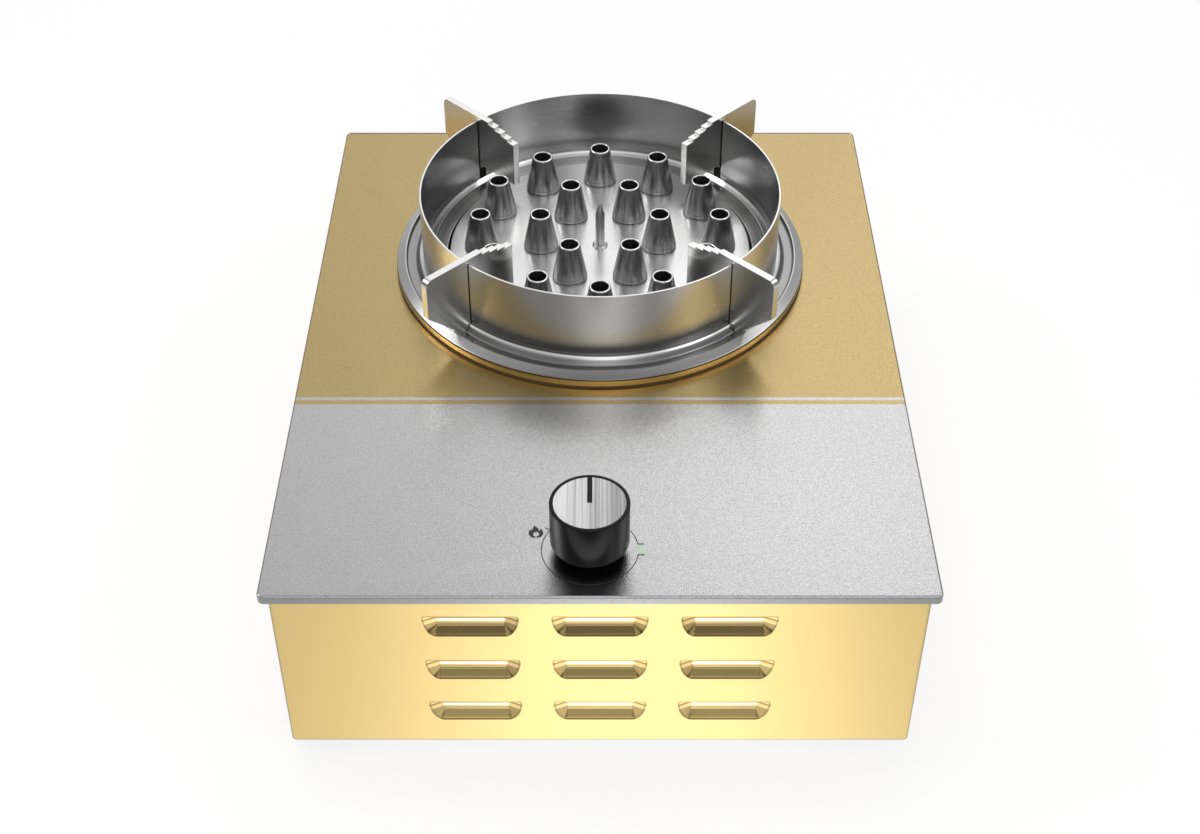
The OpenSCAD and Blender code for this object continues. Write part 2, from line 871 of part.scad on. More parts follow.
module pin_collar() {
  color(steel) at_burner() rotate_extrude() polygon([
    [pin_r + running_fit, burner_rise],
    [pin_collar_r, burner_rise],
    [pin_collar_r, burner_rise + collar_h / 2],
    [pin_collar_r - collar_h / 2, burner_rise + collar_h],
    [pin_r + running_fit, burner_rise + collar_h]
  ]);
}

insulator_flange_r = 8;
insulator_flange_t = 3;
module pin_insulator() {
  color("white") at_burner() difference() {
    union() {
      rod(insulator_r, -pan_drop - insulator_tail, burner_rise);
      rod(insulator_flange_r, -pan_drop - insulator_flange_t, -pan_drop);
    }
    rod(pin_r + running_fit, -pan_drop - insulator_tail - cut, burner_rise + cut);
  }
}

// A bent bracket: top flange inwards, foot outwards, on the side that s gives
module pan_bracket(s) {
  color(satin) translate([0, mid_y + burner_y, 0]) mirror([s < 0 ? 1 : 0, 0, 0]) difference() {
    union() {
      block([pan_bracket_x - bracket_sheet, -pan_bracket_len / 2, floor_z],
            [pan_bracket_x, pan_bracket_len / 2, top_z - pan_drop]);
      block([pan_bracket_x - bracket_foot, -pan_bracket_len / 2,
             top_z - pan_drop - bracket_sheet],
            [pan_bracket_x, pan_bracket_len / 2, top_z - pan_drop]);
      block([pan_bracket_x - bracket_sheet, -pan_bracket_len / 2, floor_z],
            [pan_bracket_x + bracket_foot, pan_bracket_len / 2, floor_z + bracket_sheet]);
    }
    for (sy = [-1, 1])
      translate([pan_bracket_x + bracket_foot / 2, sy * pan_bracket_len * bracket_screw_share, 0])
        rod(bracket_screw_r + fit, case_z, floor_z + bracket_sheet + cut);
  }
}

module mixing_tube() {
  color("silver") along_gas() difference() {
    rotate_extrude() polygon([
      [injector_tip_r + fit, mouth_y],
      [mouth_r + tube_wall, mouth_y],
      [mouth_r + tube_wall, mouth_y + mouth_len],
      [throat_r + tube_wall, mouth_y + throat_at],
      [throat_r + tube_wall, mouth_y + throat_at + throat_len],
      [tube_r, mouth_y + diffuser_at],
      [tube_r, tube_end_y],
      [tube_r - tube_wall, tube_end_y],
      [tube_r - tube_wall, mouth_y + diffuser_at],
      [throat_r, mouth_y + throat_at + throat_len],
      [throat_r, mouth_y + throat_at],
      [mouth_r, mouth_y + mouth_len],
      [mouth_r, mouth_y + mouth_wall],
      [injector_tip_r + fit, mouth_y + mouth_wall]
    ]);
    at_air_holes() rod(air_hole_r, mouth_y - cut, mouth_y + mouth_wall + cut, small_sides);
  }
}

module at_air_holes() {
  for (i = [0:air_holes - 1]) rotate([0, 0, 360 * i / air_holes])
    translate([air_circle_r, 0, 0]) children();
}

module air_shutter() {
  color(brass) along_gas() difference() {
    union() {
      rod(shutter_r, journal_y + shutter_play, journal_y + shutter_play + shutter_t);
      translate([-shutter_tab_w / 2, -shutter_r - shutter_tab_len, journal_y + shutter_play])
        cube([shutter_tab_w, shutter_tab_len + shutter_t, shutter_t]);
    }
    rod(journal_r + running_fit, journal_y - cut, mouth_y + cut);
    at_air_holes() rod(air_hole_r, journal_y - cut, mouth_y + cut, small_sides);
  }
}

module injector() {
  color(brass) along_gas() difference() {
    union() {
      rod(thread_r, injector_y - boss_in_len, injector_y);
      rod(injector_hex_r, injector_y, journal_y, hex_sides);
      rod(journal_r, journal_y, mouth_y);
      rod(injector_tip_r, mouth_y, mouth_y + injector_tip_len);
    }
    rod(jet_bore_r, injector_y - boss_in_len - cut, mouth_y + injector_tip_len - jet_bore_r);
    rod(jet_r, mouth_y, mouth_y + injector_tip_len + cut, small_sides);
  }
}

module tube_bracket() {
  color(satin) translate([knob_x, mid_y + tube_bracket_face, 0]) difference() {
    union() {
      block([-tube_bracket_w / 2, 0, floor_z],
            [tube_bracket_w / 2, bracket_sheet, top_z + valve_z + tube_r + tube_ear]);
      block([-tube_bracket_w / 2, 0, floor_z],
            [tube_bracket_w / 2, bracket_sheet + bracket_foot, floor_z + bracket_sheet]);
    }
    translate([0, 0, top_z + valve_z]) rotate([-90, 0, 0])
      rod(tube_r + fit, -cut, bracket_sheet + cut);
    for (sx = [-1, 1])
      translate([sx * tube_bracket_w * bracket_screw_share, bracket_sheet + bracket_foot / 2, 0])
        rod(bracket_screw_r + fit, case_z, floor_z + bracket_sheet + cut);
  }
}

module valve_bracket() {
  color(satin) translate([knob_x, mid_y + valve_bracket_y, 0]) difference() {
    union() {
      block([-valve_bracket_w / 2, 0, floor_z],
            [valve_bracket_w / 2, bracket_sheet, top_z + valve_low]);
      block([-valve_bracket_w / 2, 0, floor_z],
            [valve_bracket_w / 2, bracket_sheet + bracket_foot, floor_z + bracket_sheet]);
      block([-valve_bracket_w / 2, 0, top_z + valve_low - bracket_sheet],
            [valve_bracket_w / 2, bracket_sheet + bracket_foot, top_z + valve_low]);
    }
    for (sx = [-1, 1])
      translate([sx * valve_bracket_w * bracket_screw_share, bracket_sheet + bracket_foot / 2, 0])
        rod(bracket_screw_r + fit, case_z, floor_z + bracket_sheet + cut);
  }
}

module at_bonnet_screws() {
  for (s = [-1, 1]) translate([s * bonnet_screw_x, s * bonnet_screw_y, 0]) children();
}

module valve_body() {
  color(brass) difference() {
    at_knob() union() {
      block([-valve_w / 2, -valve_d / 2, valve_low], [valve_w / 2, valve_d / 2, valve_top]);
      translate([0, 0, valve_z]) rotate([-90, 0, 0]) rod(boss_r, 0, injector_y);
      translate([0, 0, valve_z]) rotate([0, 90, 0]) rod(boss_r, 0, inlet_boss_x);
    }
    at_knob() {
      rod(plug_r, valve_low + valve_floor, valve_top + cut);
      translate([0, 0, valve_z]) rotate([-90, 0, 0]) {
        rod(gas_way_r, 0, injector_y + cut, small_sides);
        rod(thread_r + running_fit, injector_y - boss_in_len - seat_gap, injector_y + cut);
      }
      translate([0, 0, valve_z]) rotate([0, 90, 0]) {
        rod(gas_way_r, 0, inlet_boss_x + cut, small_sides);
        rod(pipe_r + running_fit, inlet_boss_x - boss_in_len - seat_gap, inlet_boss_x + cut);
      }
      at_bonnet_screws() rod(bonnet_screw_r + running_fit,
        valve_top - bonnet_screw_len + bonnet_flange_t - seat_gap, valve_top + cut, small_sides);
    }
  }
}

module valve_plug() {
  color(brass) at_knob() difference() {
    rod(plug_r - running_fit, plug_low, plug_top);
    block([-plug_r - cut, -tang_t / 2 - fit, plug_top - slot_depth],
          [plug_r + cut, tang_t / 2 + fit, plug_top + cut]);
    translate([0, 0, valve_z]) rotate([0, 90, 0]) rod(gas_way_r, 0, plug_r + cut, small_sides);
    translate([0, 0, valve_z]) rotate([-90, 0, 0]) rod(gas_way_r, -plug_r - cut, 0, small_sides);
  }
}

module valve_bonnet() {
  color(brass) at_knob() difference() {
    union() {
      block([-valve_w / 2, -valve_d / 2, valve_top],
            [valve_w / 2, valve_d / 2, valve_top + bonnet_flange_t]);
      rod(bonnet_r, valve_top, bonnet_top);
    }
    rod(bonnet_bore_r, valve_top - cut, bonnet_roof);
    rod(stem_r + running_fit, valve_top - cut, bonnet_top + cut);
    at_bonnet_screws()
      rod(bonnet_screw_r + fit, valve_top - cut, valve_top + bonnet_flange_t + cut, small_sides);
    block([-bonnet_r - cut, -ear_w / 2 - seat_gap, washer_low - knob_press - seat_gap],
          [0, ear_w / 2 + seat_gap, washer_low + washer_t + seat_gap]);
  }
}

module bonnet_screws() {
  color(steel) at_knob() at_bonnet_screws() {
    rod(bonnet_head_r, valve_top + bonnet_flange_t,
        valve_top + bonnet_flange_t + bonnet_head_t, small_sides);
    rod(bonnet_screw_r, valve_top + bonnet_flange_t - bonnet_screw_len,
        valve_top + bonnet_flange_t, small_sides);
  }
}

module thrust_washer() {
  color(steel) at_knob() difference() {
    union() {
      rod(washer_out_r, washer_low, washer_low + washer_t);
      block([-ear_reach, -ear_w / 2, washer_low], [0, ear_w / 2, washer_low + washer_t]);
    }
    rod(washer_in_r, washer_low - cut, washer_low + washer_t + cut);
  }
}

module valve_stem() {
  color(steel) at_knob() difference() {
    union() {
      block([-tang_w / 2, -tang_t / 2, tang_low], [tang_w / 2, tang_t / 2, stem_collar_low]);
      rod(washer_out_r, stem_collar_low, stem_collar_top);
      rod(stem_r, stem_collar_low, hub_low + hub_depth - seat_gap);
    }
    block([stem_r - stem_flat, -stem_r - cut, hub_low - knob_edge],
          [stem_r + cut, stem_r + cut, hub_low + hub_depth + cut]);
  }
}

module stem_bush() {
  color(rubber_black) at_knob() difference() {
    union() {
      rod(bush_r, -plate_sheet - bush_flange_t, bush_flange_t);
      rod(bush_flange_r, 0, bush_flange_t);
      rod(bush_flange_r, -plate_sheet - bush_flange_t, -plate_sheet);
    }
    rod(stem_r + bush_gap, -plate_sheet - bush_flange_t - cut, bush_flange_t + cut);
  }
}

// Closed tube along a row of points; side is never in line with the row
function unit(v) = v / norm(v);
function heading(p, i) = unit(p[min(i + 1, len(p) - 1)] - p[max(i - 1, 0)]);
function ring_points(centre, dir, side, r, sides) =
  let (u = unit(cross(dir, side)), w = cross(u, dir))
  [for (j = [0:sides - 1]) centre + r * (cos(360 * j / sides) * u + sin(360 * j / sides) * w)];
module swept_tube(p, side, r, sides) {
  points = [for (i = [0:len(p) - 1]) each ring_points(p[i], heading(p, i), side, r, sides)];
  last = (len(p) - 1) * sides;
  faces = concat(
    [[for (j = [0:sides - 1]) j]],
    [for (i = [0:len(p) - 2], j = [0:sides - 1])
      let (a = i * sides + j, b = i * sides + (j + 1) % sides)
      each [[a, a + sides, b], [b, a + sides, b + sides]]],
    [[for (j = [sides - 1:-1:0]) last + j]]
  );
  polyhedron(points, faces);
}

// Smooth route from a to b that leaves along da and arrives along db
function route(a, da, b, db) = [
  for (i = [0:lead_steps * 3])
    let (t = i / (lead_steps * 3), s = 1 - t)
    s * s * s * a + 3 * s * s * t * (a + da) + 3 * s * t * t * (b - db) + t * t * t * b
];

module lead(a, da, b, db, r) {
  swept_tube(route(a, da, b, db), cross([0, 0, 1], b - a), r, lead_sides);
}

// Where the leads end
socket_z = floor_z + igniter_h + socket_h;
pin_end = [0, mid_y + burner_y, top_z - pan_drop - insulator_tail - pin_tail];
switch_end = [knob_x + button_x, mid_y + knob_y, top_z + switch_top - switch_h];
battery_end = [battery_x, mid_y + box_front, box_mid_z];
function socket_end(s) = [igniter_x + s * socket_x, mid_y + igniter_y, socket_z];

module ignition_lead() {
  rise = socket_z;
  color("firebrick") lead(socket_end(1), [0, 0, rise], pin_end, [0, 0, rise], lead_r);
}

module switch_lead() {
  rise = socket_z;
  color("white") lead(socket_end(0), [0, 0, rise], switch_end, [0, 0, rise], thin_lead_r);
}

module battery_lead() {
  rise = socket_z;
  color("black") lead(socket_end(-1), [0, 0, rise], battery_end, [0, rise, 0], thin_lead_r);
}

module stem_spring() {
  steps = spring_turns * spring_rings;
  pitch = (spring_top - spring_low) / spring_turns;
  color(steel) at_knob() swept_tube(
    [for (i = [0:steps])
      let (a = 360 * i / spring_rings)
      [spring_r * cos(a), spring_r * sin(a), spring_low + pitch * i / spring_rings]],
    [0, 0, 1], spring_wire_r, spring_ring_sides);
}

module ignition_switch() {
  color(rubber_black) at_knob() difference() {
    block([button_x - switch_w / 2, -switch_d / 2, switch_top - switch_h],
          [button_x + switch_w / 2, switch_d / 2, switch_top]);
    translate([button_x, 0, 0])
      rod(button_r + running_fit, switch_top - button_tail - knob_press - seat_gap, switch_top + cut);
  }
}

module switch_button() {
  color("firebrick") at_knob() translate([button_x, 0, 0])
    rod(button_r, switch_top - button_tail, washer_low);
}

module pulse_igniter() {
  color(rubber_black) translate([igniter_x, mid_y + igniter_y, 0]) difference() {
    union() {
      slab(floor_z, floor_z + igniter_h) rounded_rect(igniter_w, igniter_d, igniter_wall_r);
      slab(floor_z, floor_z + ear_t)
        rounded_rect(igniter_w + 2 * ear_len, igniter_d / 2, igniter_wall_r);
      for (s = [-1, 0, 1]) translate([s * socket_x, 0, 0])
        rod(socket_r, floor_z + igniter_h, socket_z);
    }
    for (sx = [-1, 1]) translate([sx * (igniter_w + ear_len) / 2, 0, 0])
      rod(bracket_screw_r + fit, case_z, floor_z + ear_t + cut);
  }
}

module battery_box() {
  color(rubber_black) at_middle() difference() {
    union() {
      block([battery_x - box_w / 2, box_front, box_z],
            [battery_x + box_w / 2, rear_y + box_frame_t, box_z + box_h]);
      block([battery_x - box_w / 2 - box_frame, rear_y, box_z - box_frame],
            [battery_x + box_w / 2 + box_frame, rear_y + box_frame_t, box_z + box_h + box_frame]);
    }
    block([battery_x - box_in_w / 2, box_front + box_wall, box_z + box_wall],
          [battery_x + box_in_w / 2, rear_y + box_frame_t + cut, box_z + box_h - box_wall]);
    translate([battery_x, lid_axis_y, lid_axis_z]) rotate([0, 90, 0])
      rod(lid_pin_r + running_fit, -lid_w / 2 - lid_pin_len - seat_gap,
          lid_w / 2 + lid_pin_len + seat_gap, small_sides);
  }
}

module battery_lid() {
  color(rubber_black) at_middle() translate([battery_x, lid_axis_y, 0]) {
    translate([0, 0, lid_axis_z]) rotate([0, 90, 0]) {
      rod(barrel_r, -lid_w / 2, lid_w / 2);
      rod(lid_pin_r, -lid_w / 2 - lid_pin_len, lid_w / 2 + lid_pin_len, small_sides);
    }
    block([-lid_w / 2, 0, lid_axis_z], [lid_w / 2, lid_t, lid_top]);
    block([-lid_grip_w / 2, lid_t, lid_top - lid_grip_h],
          [lid_grip_w / 2, lid_t + lid_grip_t, lid_top]);
  }
}

cell_nub_r = 4;
cell_nub_len = 1.5;
module battery_cell() {
  color("seagreen") at_middle()
    translate([battery_x, box_front + box_wall + seat_gap + cell_r, box_z + box_wall + fit + cell_r])
      rotate([0, 90, 0]) {
        rod(cell_r, -cell_len / 2, cell_len / 2);
        rod(cell_nub_r, cell_len / 2, cell_len / 2 + cell_nub_len);
      }
}

module pipe_solid(r, over) {
  start = knob_x + inlet_boss_x - boss_in_len;
  bend_x = inlet_x - pipe_bend_r;
  end_y = rear_y - case_sheet - inlet_hex_len + boss_in_len - seat_gap;
  translate([start - over, knob_y, 0]) rotate([0, 90, 0]) rod(r, 0, bend_x - start + over);
  translate([bend_x, knob_y + pipe_bend_r, 0]) rotate([0, 0, -90])
    rotate_extrude(angle = 90) translate([pipe_bend_r, 0]) circle(r);
  translate([inlet_x, knob_y + pipe_bend_r, 0]) rotate([-90, 0, 0])
    rod(r, 0, end_y - knob_y - pipe_bend_r + over);
}

module gas_pipe() {
  color(steel) translate([0, mid_y, top_z + valve_z]) difference() {
    pipe_solid(pipe_r, 0);
    pipe_solid(pipe_r - pipe_wall, cut);
  }
}

module pipe_nut() {
  difference() {
    rod(pipe_nut_r, 0, pipe_nut_len, hex_sides);
    rod(pipe_r + running_fit, -cut, pipe_nut_len + cut);
  }
}

module pipe_nuts() {
  color(brass) {
    at_knob() translate([inlet_boss_x, 0, valve_z]) rotate([0, 90, 0]) pipe_nut();
    along_inlet() translate([0, 0, -case_sheet - inlet_hex_len - pipe_nut_len]) pipe_nut();
  }
}

module inlet_connector() {
  spigot_low = nut_t + spigot_shoulder;
  color(brass) along_inlet() difference() {
    union() {
      rod(inlet_hex_r, -case_sheet - inlet_hex_len, -case_sheet, hex_sides);
      rod(inlet_body_r, -case_sheet, spigot_low);
      rod(spigot_r, spigot_low, spigot_low + spigot_len - spigot_tip);
      translate([0, 0, spigot_low + spigot_len - spigot_tip])
        cylinder(h = spigot_tip, r1 = spigot_r, r2 = spigot_r - spigot_tip / 2);
    }
    rod(inlet_bore_r, -case_sheet - inlet_hex_len, spigot_low + spigot_len + cut);
    rod(pipe_r + running_fit, -case_sheet - inlet_hex_len - cut,
        -case_sheet - inlet_hex_len + boss_in_len);
  }
}

module inlet_nut() {
  color(brass) along_inlet() difference() {
    rod(inlet_nut_r, 0, nut_t, hex_sides);
    rod(inlet_body_r + running_fit, -cut, nut_t + cut);
  }
}

module drip_tray() {
  s = tray_sheet;
  color(steel) at_burner() rotate_extrude($fn = 128) polygon([
    [tray_r, gasket_t],
    [tray_r, tray_edge_h],
    [rim_flat_r, tray_rim_h],
    [rim_lip_r, tray_rim_h],
    [trough_out_r, tray_trough_h],
    [bead_out_r, tray_trough_h],
    [bead_slope_r, tray_bead_h - bead_step],
    [bead_top_r, tray_bead_h],
    [bead_in_r, tray_bead_h],
    [bead_in_slope_r, tray_bead_h - bead_step],
    [band_out_r, tray_band_h],
    [tray_hole_r + s, tray_band_h],
    [tray_hole_r, tray_band_h - s],
    [tray_hole_r, -tray_collar_h],
    [tray_hole_r + s, -tray_collar_h],
    [tray_hole_r + s, tray_band_h - 2 * s],
    [band_out_r + s / 2, tray_band_h - 2 * s],
    [bead_in_slope_r + s, tray_bead_h - bead_step - s / 2],
    [bead_in_r + s / 2, tray_bead_h - s],
    [bead_top_r - s / 2, tray_bead_h - s],
    [bead_slope_r - s, tray_bead_h - bead_step - s / 2],
    [bead_out_r - s / 2, tray_trough_h - s],
    [trough_out_r + s / 2, tray_trough_h - s],
    [rim_lip_r + s, tray_rim_h - s],
    [rim_flat_r + s / 2, tray_rim_h - s],
    [tray_r - s, tray_edge_h - s / 2],
    [tray_r - s, gasket_t]
  ]);
}

module tray_gasket() {
  color(rubber_black) at_burner() tube_ring(gasket_out_r, gasket_in_r, 0, gasket_t);
}

module wok_ring() {
  color(steel) at_burner() difference() {
    rod(ring_r, ring_low, ring_top);
    rod(ring_r - ring_wall, ring_low - cut, ring_top + cut);
    for (a = [0:90:270]) rotate([0, 0, arm_first_angle + a])
      block([ring_r - ring_wall - cut, -arm_t / 2 - sheet_fit, slot_low],
            [ring_r + cut, arm_t / 2 + sheet_fit, ring_top + cut]);
  }
}

arm_corner_steps = 6;
arm_ring_gap = 4;
module wok_arm(quarter) {
  ring_in_r = ring_r - ring_wall;
  color(steel) at_burner() rotate([90, 0, arm_first_angle + 90 * quarter])
    linear_extrude(arm_t, center = true) polygon(concat(
      [[arm_outer_r, arm_drop_z]],
      [for (i = [0:arm_corner_steps])
        let (a = 90 * i / arm_corner_steps)
        [arm_outer_r - arm_corner + arm_corner * cos(a),
         arm_top - arm_corner + arm_corner * sin(a)]],
      [[arm_end_r, arm_step_z]],
      [for (i = [0:step_count - 1]) each [
        [arm_end_r - i * step_w, arm_step_z - (i + 1) * step_h],
        [arm_end_r - (i + 1) * step_w, arm_step_z - (i + 1) * step_h]
      ]],
      [
        [arm_inner_r, arm_inner_low],
        [ring_in_r - arm_ring_gap, arm_inner_low],
        [ring_in_r - sheet_fit, slot_low + fit],
        [ring_r + sheet_fit, slot_low + fit],
        [ring_r + sheet_fit, tray_bead_h + seat_gap],
        [arm_foot_in_r, tray_bead_h + seat_gap],
        [arm_foot_in_r, arm_foot_z],
        [arm_foot_out_r, arm_foot_z],
        [arm_foot_out_r, arm_heel_z]
      ]
    ));
}

knob_cap_r = knob_r - knob_rim;
knob_deck_z = knob_top - knob_cap_t - knob_deck;
module knob_body() {
  color(rubber_black) at_knob() difference() {
    union() {
      rotate_extrude() polygon([
        [0, knob_top - knob_cap_t],
        [knob_cap_r, knob_top - knob_cap_t],
        [knob_cap_r, knob_top],
        [knob_r - knob_edge, knob_top],
        [knob_r, knob_top - knob_edge],
        [knob_r, knob_gap + knob_taper_h],
        [knob_r - knob_taper, knob_gap],
        [knob_r - knob_taper - knob_wall, knob_gap],
        [knob_r - knob_wall, knob_gap + knob_taper_h],
        [knob_r - knob_wall, knob_deck_z],
        [0, knob_deck_z]
      ]);
      rod(hub_r, hub_low, knob_deck_z);
    }
    difference() {
      rod(stem_r + running_fit, hub_low - cut, hub_low + hub_depth);
      block([stem_r - stem_flat + running_fit, -stem_r - cut, hub_low - 2 * cut],
            [stem_r + cut, stem_r + cut, hub_low + hub_depth + cut]);
    }
  }
}

module knob_cap() {
  color(steel) at_knob() difference() {
    rod(knob_cap_r - running_fit, knob_top - knob_cap_t, knob_top);
    block([-pointer_w / 2 - running_fit, -running_fit, knob_top - pointer_t],
          [pointer_w / 2 + running_fit, knob_r, knob_top + cut]);
  }
}

module knob_pointer() {
  color(rubber_black) at_knob() intersection() {
    block([-pointer_w / 2, 0, knob_top - pointer_t], [pointer_w / 2, knob_r, knob_top]);
    rod(knob_cap_r - running_fit, knob_top - knob_cap_t, knob_top + cut);
  }
}

top_plate();
housing_shell();
rear_panel();
base_plate();
foot(-1, -1);  // foot_front_left
foot(1, -1);  // foot_front_right
foot(-1, 1);  // foot_rear_left
foot(1, 1);  // foot_rear_right
foot_screws();
foot_nuts();
case_screws();
burner_cap();
burner_pan();
outer_nozzles();
inner_nozzles();
ignition_pin();
pin_collar();
pin_insulator();
pan_bracket(-1);  // pan_bracket_left
pan_bracket(1);  // pan_bracket_right
bracket_screws();
mixing_tube();
tube_bracket();
air_shutter();
injector();
valve_body();
valve_plug();
valve_bonnet();
bonnet_screws();
valve_bracket();
stem_spring();
thrust_washer();
valve_stem();
stem_bush();
ignition_switch();
switch_button();
pulse_igniter();
battery_box();
battery_lid();
battery_cell();
ignition_lead();
switch_lead();
battery_lead();
gas_pipe();
pipe_nuts();
inlet_connector();
inlet_nut();
drip_tray();
tray_gasket();
wok_ring();
wok_arm(2);  // wok_arm_front_left
wok_arm(3);  // wok_arm_front_right
wok_arm(1);  // wok_arm_rear_left
wok_arm(0);  // wok_arm_rear_right
knob_body();
knob_cap();
knob_pointer();
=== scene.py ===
"""Table-top wok range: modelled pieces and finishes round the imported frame."""
import json
import math

import bmesh
import bpy
from bpy.props import FloatProperty, FloatVectorProperty, IntProperty, PointerProperty
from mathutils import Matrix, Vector


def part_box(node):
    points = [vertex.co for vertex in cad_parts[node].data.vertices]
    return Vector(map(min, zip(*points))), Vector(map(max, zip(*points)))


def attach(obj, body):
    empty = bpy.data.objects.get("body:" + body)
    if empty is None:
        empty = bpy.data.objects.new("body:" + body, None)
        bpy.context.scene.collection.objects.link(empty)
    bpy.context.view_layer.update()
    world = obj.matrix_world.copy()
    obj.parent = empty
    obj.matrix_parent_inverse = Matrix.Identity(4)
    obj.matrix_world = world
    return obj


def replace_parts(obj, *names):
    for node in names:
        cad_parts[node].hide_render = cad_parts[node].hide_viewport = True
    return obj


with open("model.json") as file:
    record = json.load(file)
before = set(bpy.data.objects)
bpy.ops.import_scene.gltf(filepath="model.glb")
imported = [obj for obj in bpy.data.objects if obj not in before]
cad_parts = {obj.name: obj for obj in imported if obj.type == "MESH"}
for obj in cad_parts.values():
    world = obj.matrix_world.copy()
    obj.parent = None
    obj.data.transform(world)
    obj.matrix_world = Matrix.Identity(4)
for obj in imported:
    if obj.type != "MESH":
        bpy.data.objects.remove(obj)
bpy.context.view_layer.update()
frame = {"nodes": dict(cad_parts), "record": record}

bl_info = {
    "name": "Wok range",
    "version": (1, 0, 0),
    "blender": (4, 5, 0),
    "location": "View3D > Sidebar > Wok range",
    "description": "Builds the visible pieces of a table-top wok range and its studio",
    "category": "Object",
}

MM = 0.001

# Distance within which vertices are merged, gap between pieces that touch, and height of a print, in metres
WELD = 0.000002
PLAY = 0.0001
PRINT_LIFT = 0.00006

# Directions from above, in degrees from the right: the stop mark's lines, the start mark and the arms
STOP_TURN = 9
START_TURN = 146
ARMS = {"rear_right": 45, "rear_left": 135, "front_left": 225, "front_right": 315}

# Colour of the painted highlight on the upward faces and edges of the ring and the arms
PAINTED_TOP_HIGHLIGHT = (0.96, 0.96, 0.95)

# The camera that a fit to the photograph gave: lens in mm, place from the plate in metres, tilt in degrees
CAMERA_LENS = 53.52
CAMERA_BACK = 0.95891
CAMERA_UP = 0.76086
CAMERA_TILT = 48.74

# Brightness of the sky and of the floor's glow
SKY_STRENGTH = 1.6
FLOOR_STRENGTH = 1.8

# The sky's bright strips: (middle, width) sideways and along, and strength
SKY_STRIPS = (
    ((-0.74, 0.1), (0.18, 0.2), 5.2),
    ((0.66, 0.12), (-0.36, 0.22), 1.8),
    ((0.74, 0.1), (0.18, 0.2), 2.2),
)


def corners_of(node):
    """Lowest and highest corner of a frame node's box."""
    return [Vector(corner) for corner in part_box(node)]


def middle(node):
    """Centre of a frame node's box."""
    low, high = corners_of(node)
    return (low + high) / 2


def half(node):
    """Half extents of a frame node's box."""
    low, high = corners_of(node)
    return (high - low) / 2


# Places that the frame gives, in metres
PLATE = middle("top_plate")
PLATE_HALF = half("top_plate")
PLATE_TOP = PLATE.z + PLATE_HALF.z
RIM = PLATE.z - PLATE_HALF.z
CASE = middle("housing_shell")
CASE_HALF = half("housing_shell")
CASE_FRONT = CASE.y - CASE_HALF.y
CASE_LOW = CASE.z - CASE_HALF.z
CASE_TOP = CASE.z + CASE_HALF.z
BURNER = Vector((*middle("drip_tray").xy, PLATE_TOP))
KNOB = Vector((*middle("knob_body").xy, PLATE_TOP))


def length(name, description, millimetres):
    """A size property, given in millimetres and kept in metres."""
    return FloatProperty(name=name, description=description, default=millimetres * MM, unit="LENGTH")


def tint(name, description, colour):
    """A colour property in linear values."""
    return FloatVectorProperty(
        name=name, description=description, default=colour, subtype="COLOR", size=3, min=0, max=1
    )


class PlateSizes(bpy.types.PropertyGroup):
    """Sizes of the worktop plate and the marks printed on it."""

    sheet: length("Sheet", "Thickness of the plate's sheet", 1.2)
    corner: length("Corner", "Radius of the plate's corners from above", 4)
    edge: length("Edge", "Radius of the soft top edge", 1.4)
    fold: length("Fold", "Width of the strip folded in under the rim", 8.5)
    hole: length("Burner hole", "Radius of the cut-out under the tray", 112.5)
    bush_hole: length("Bush hole", "Radius of the hole for the stem's bush", 8.1)
    front_tone: length("Front tone", "Depth of the silver area from the front edge", 171)
    stripe: length("Stripe", "Width of the gold stripe before the rear tone", 4)
    gap: length("Stripe gap", "Silver gap between the stripe and the rear tone", 3)
    dial_radius: length("Dial radius", "Radius of the printed circle round the knob", 29)
    dial_line: length("Dial line", "Width of the printed lines", 0.55)
    mark: length("Mark", "Length of the stop and start marks", 3.8)
    flame: length("Flame", "Height of the printed flame", 10.6)
    flame_place: FloatVectorProperty(
        name="Flame's place", description="Place of the flame from the knob's middle",
        size=2, subtype="TRANSLATION", unit="LENGTH", default=(-0.0325, 0.0148),
    )


class CaseSizes(bpy.types.PropertyGroup):
    """Sizes of the housing shell and its louvres."""

    sheet: length("Sheet", "Thickness of the housing's sheet", 1)
    corner: length("Corner", "Outer radius of the front corners", 3)
    flange: length("Flange", "Reach of the flange folded in at the lower edge", 7.2)
    fold: length("Fold", "Radius of the fold along the lower edge", 1.6)
    louvre_width: length("Louvre width", "Length of a louvre at its open edge", 59)
    louvre_base: length("Louvre base", "Length of a louvre at its lower edge", 40)
    louvre_height: length("Louvre height", "Height of a louvre", 17.4)
    louvre_depth: length("Louvre depth", "Depth that a louvre is pressed in", 3.4)
    louvre_land: length("Louvre land", "Height of a louvre's flat upper part", 8.6)
    louvre_corner: length("Louvre corner", "Radius of a louvre's upper corners", 1.6)
    pitch_x: length("Sideways pitch", "Distance from louvre to louvre, sideways", 77)
    pitch_z: length("Upright pitch", "Distance from louvre to louvre, up and down", 38.8)
    drop: length("Drop", "Distance from the plate's rim to the first louvre", 16.8)
    columns: IntProperty(name="Columns", description="Louvres side by side", default=3)
    rows: IntProperty(name="Rows", description="Louvres above each other", default=3)


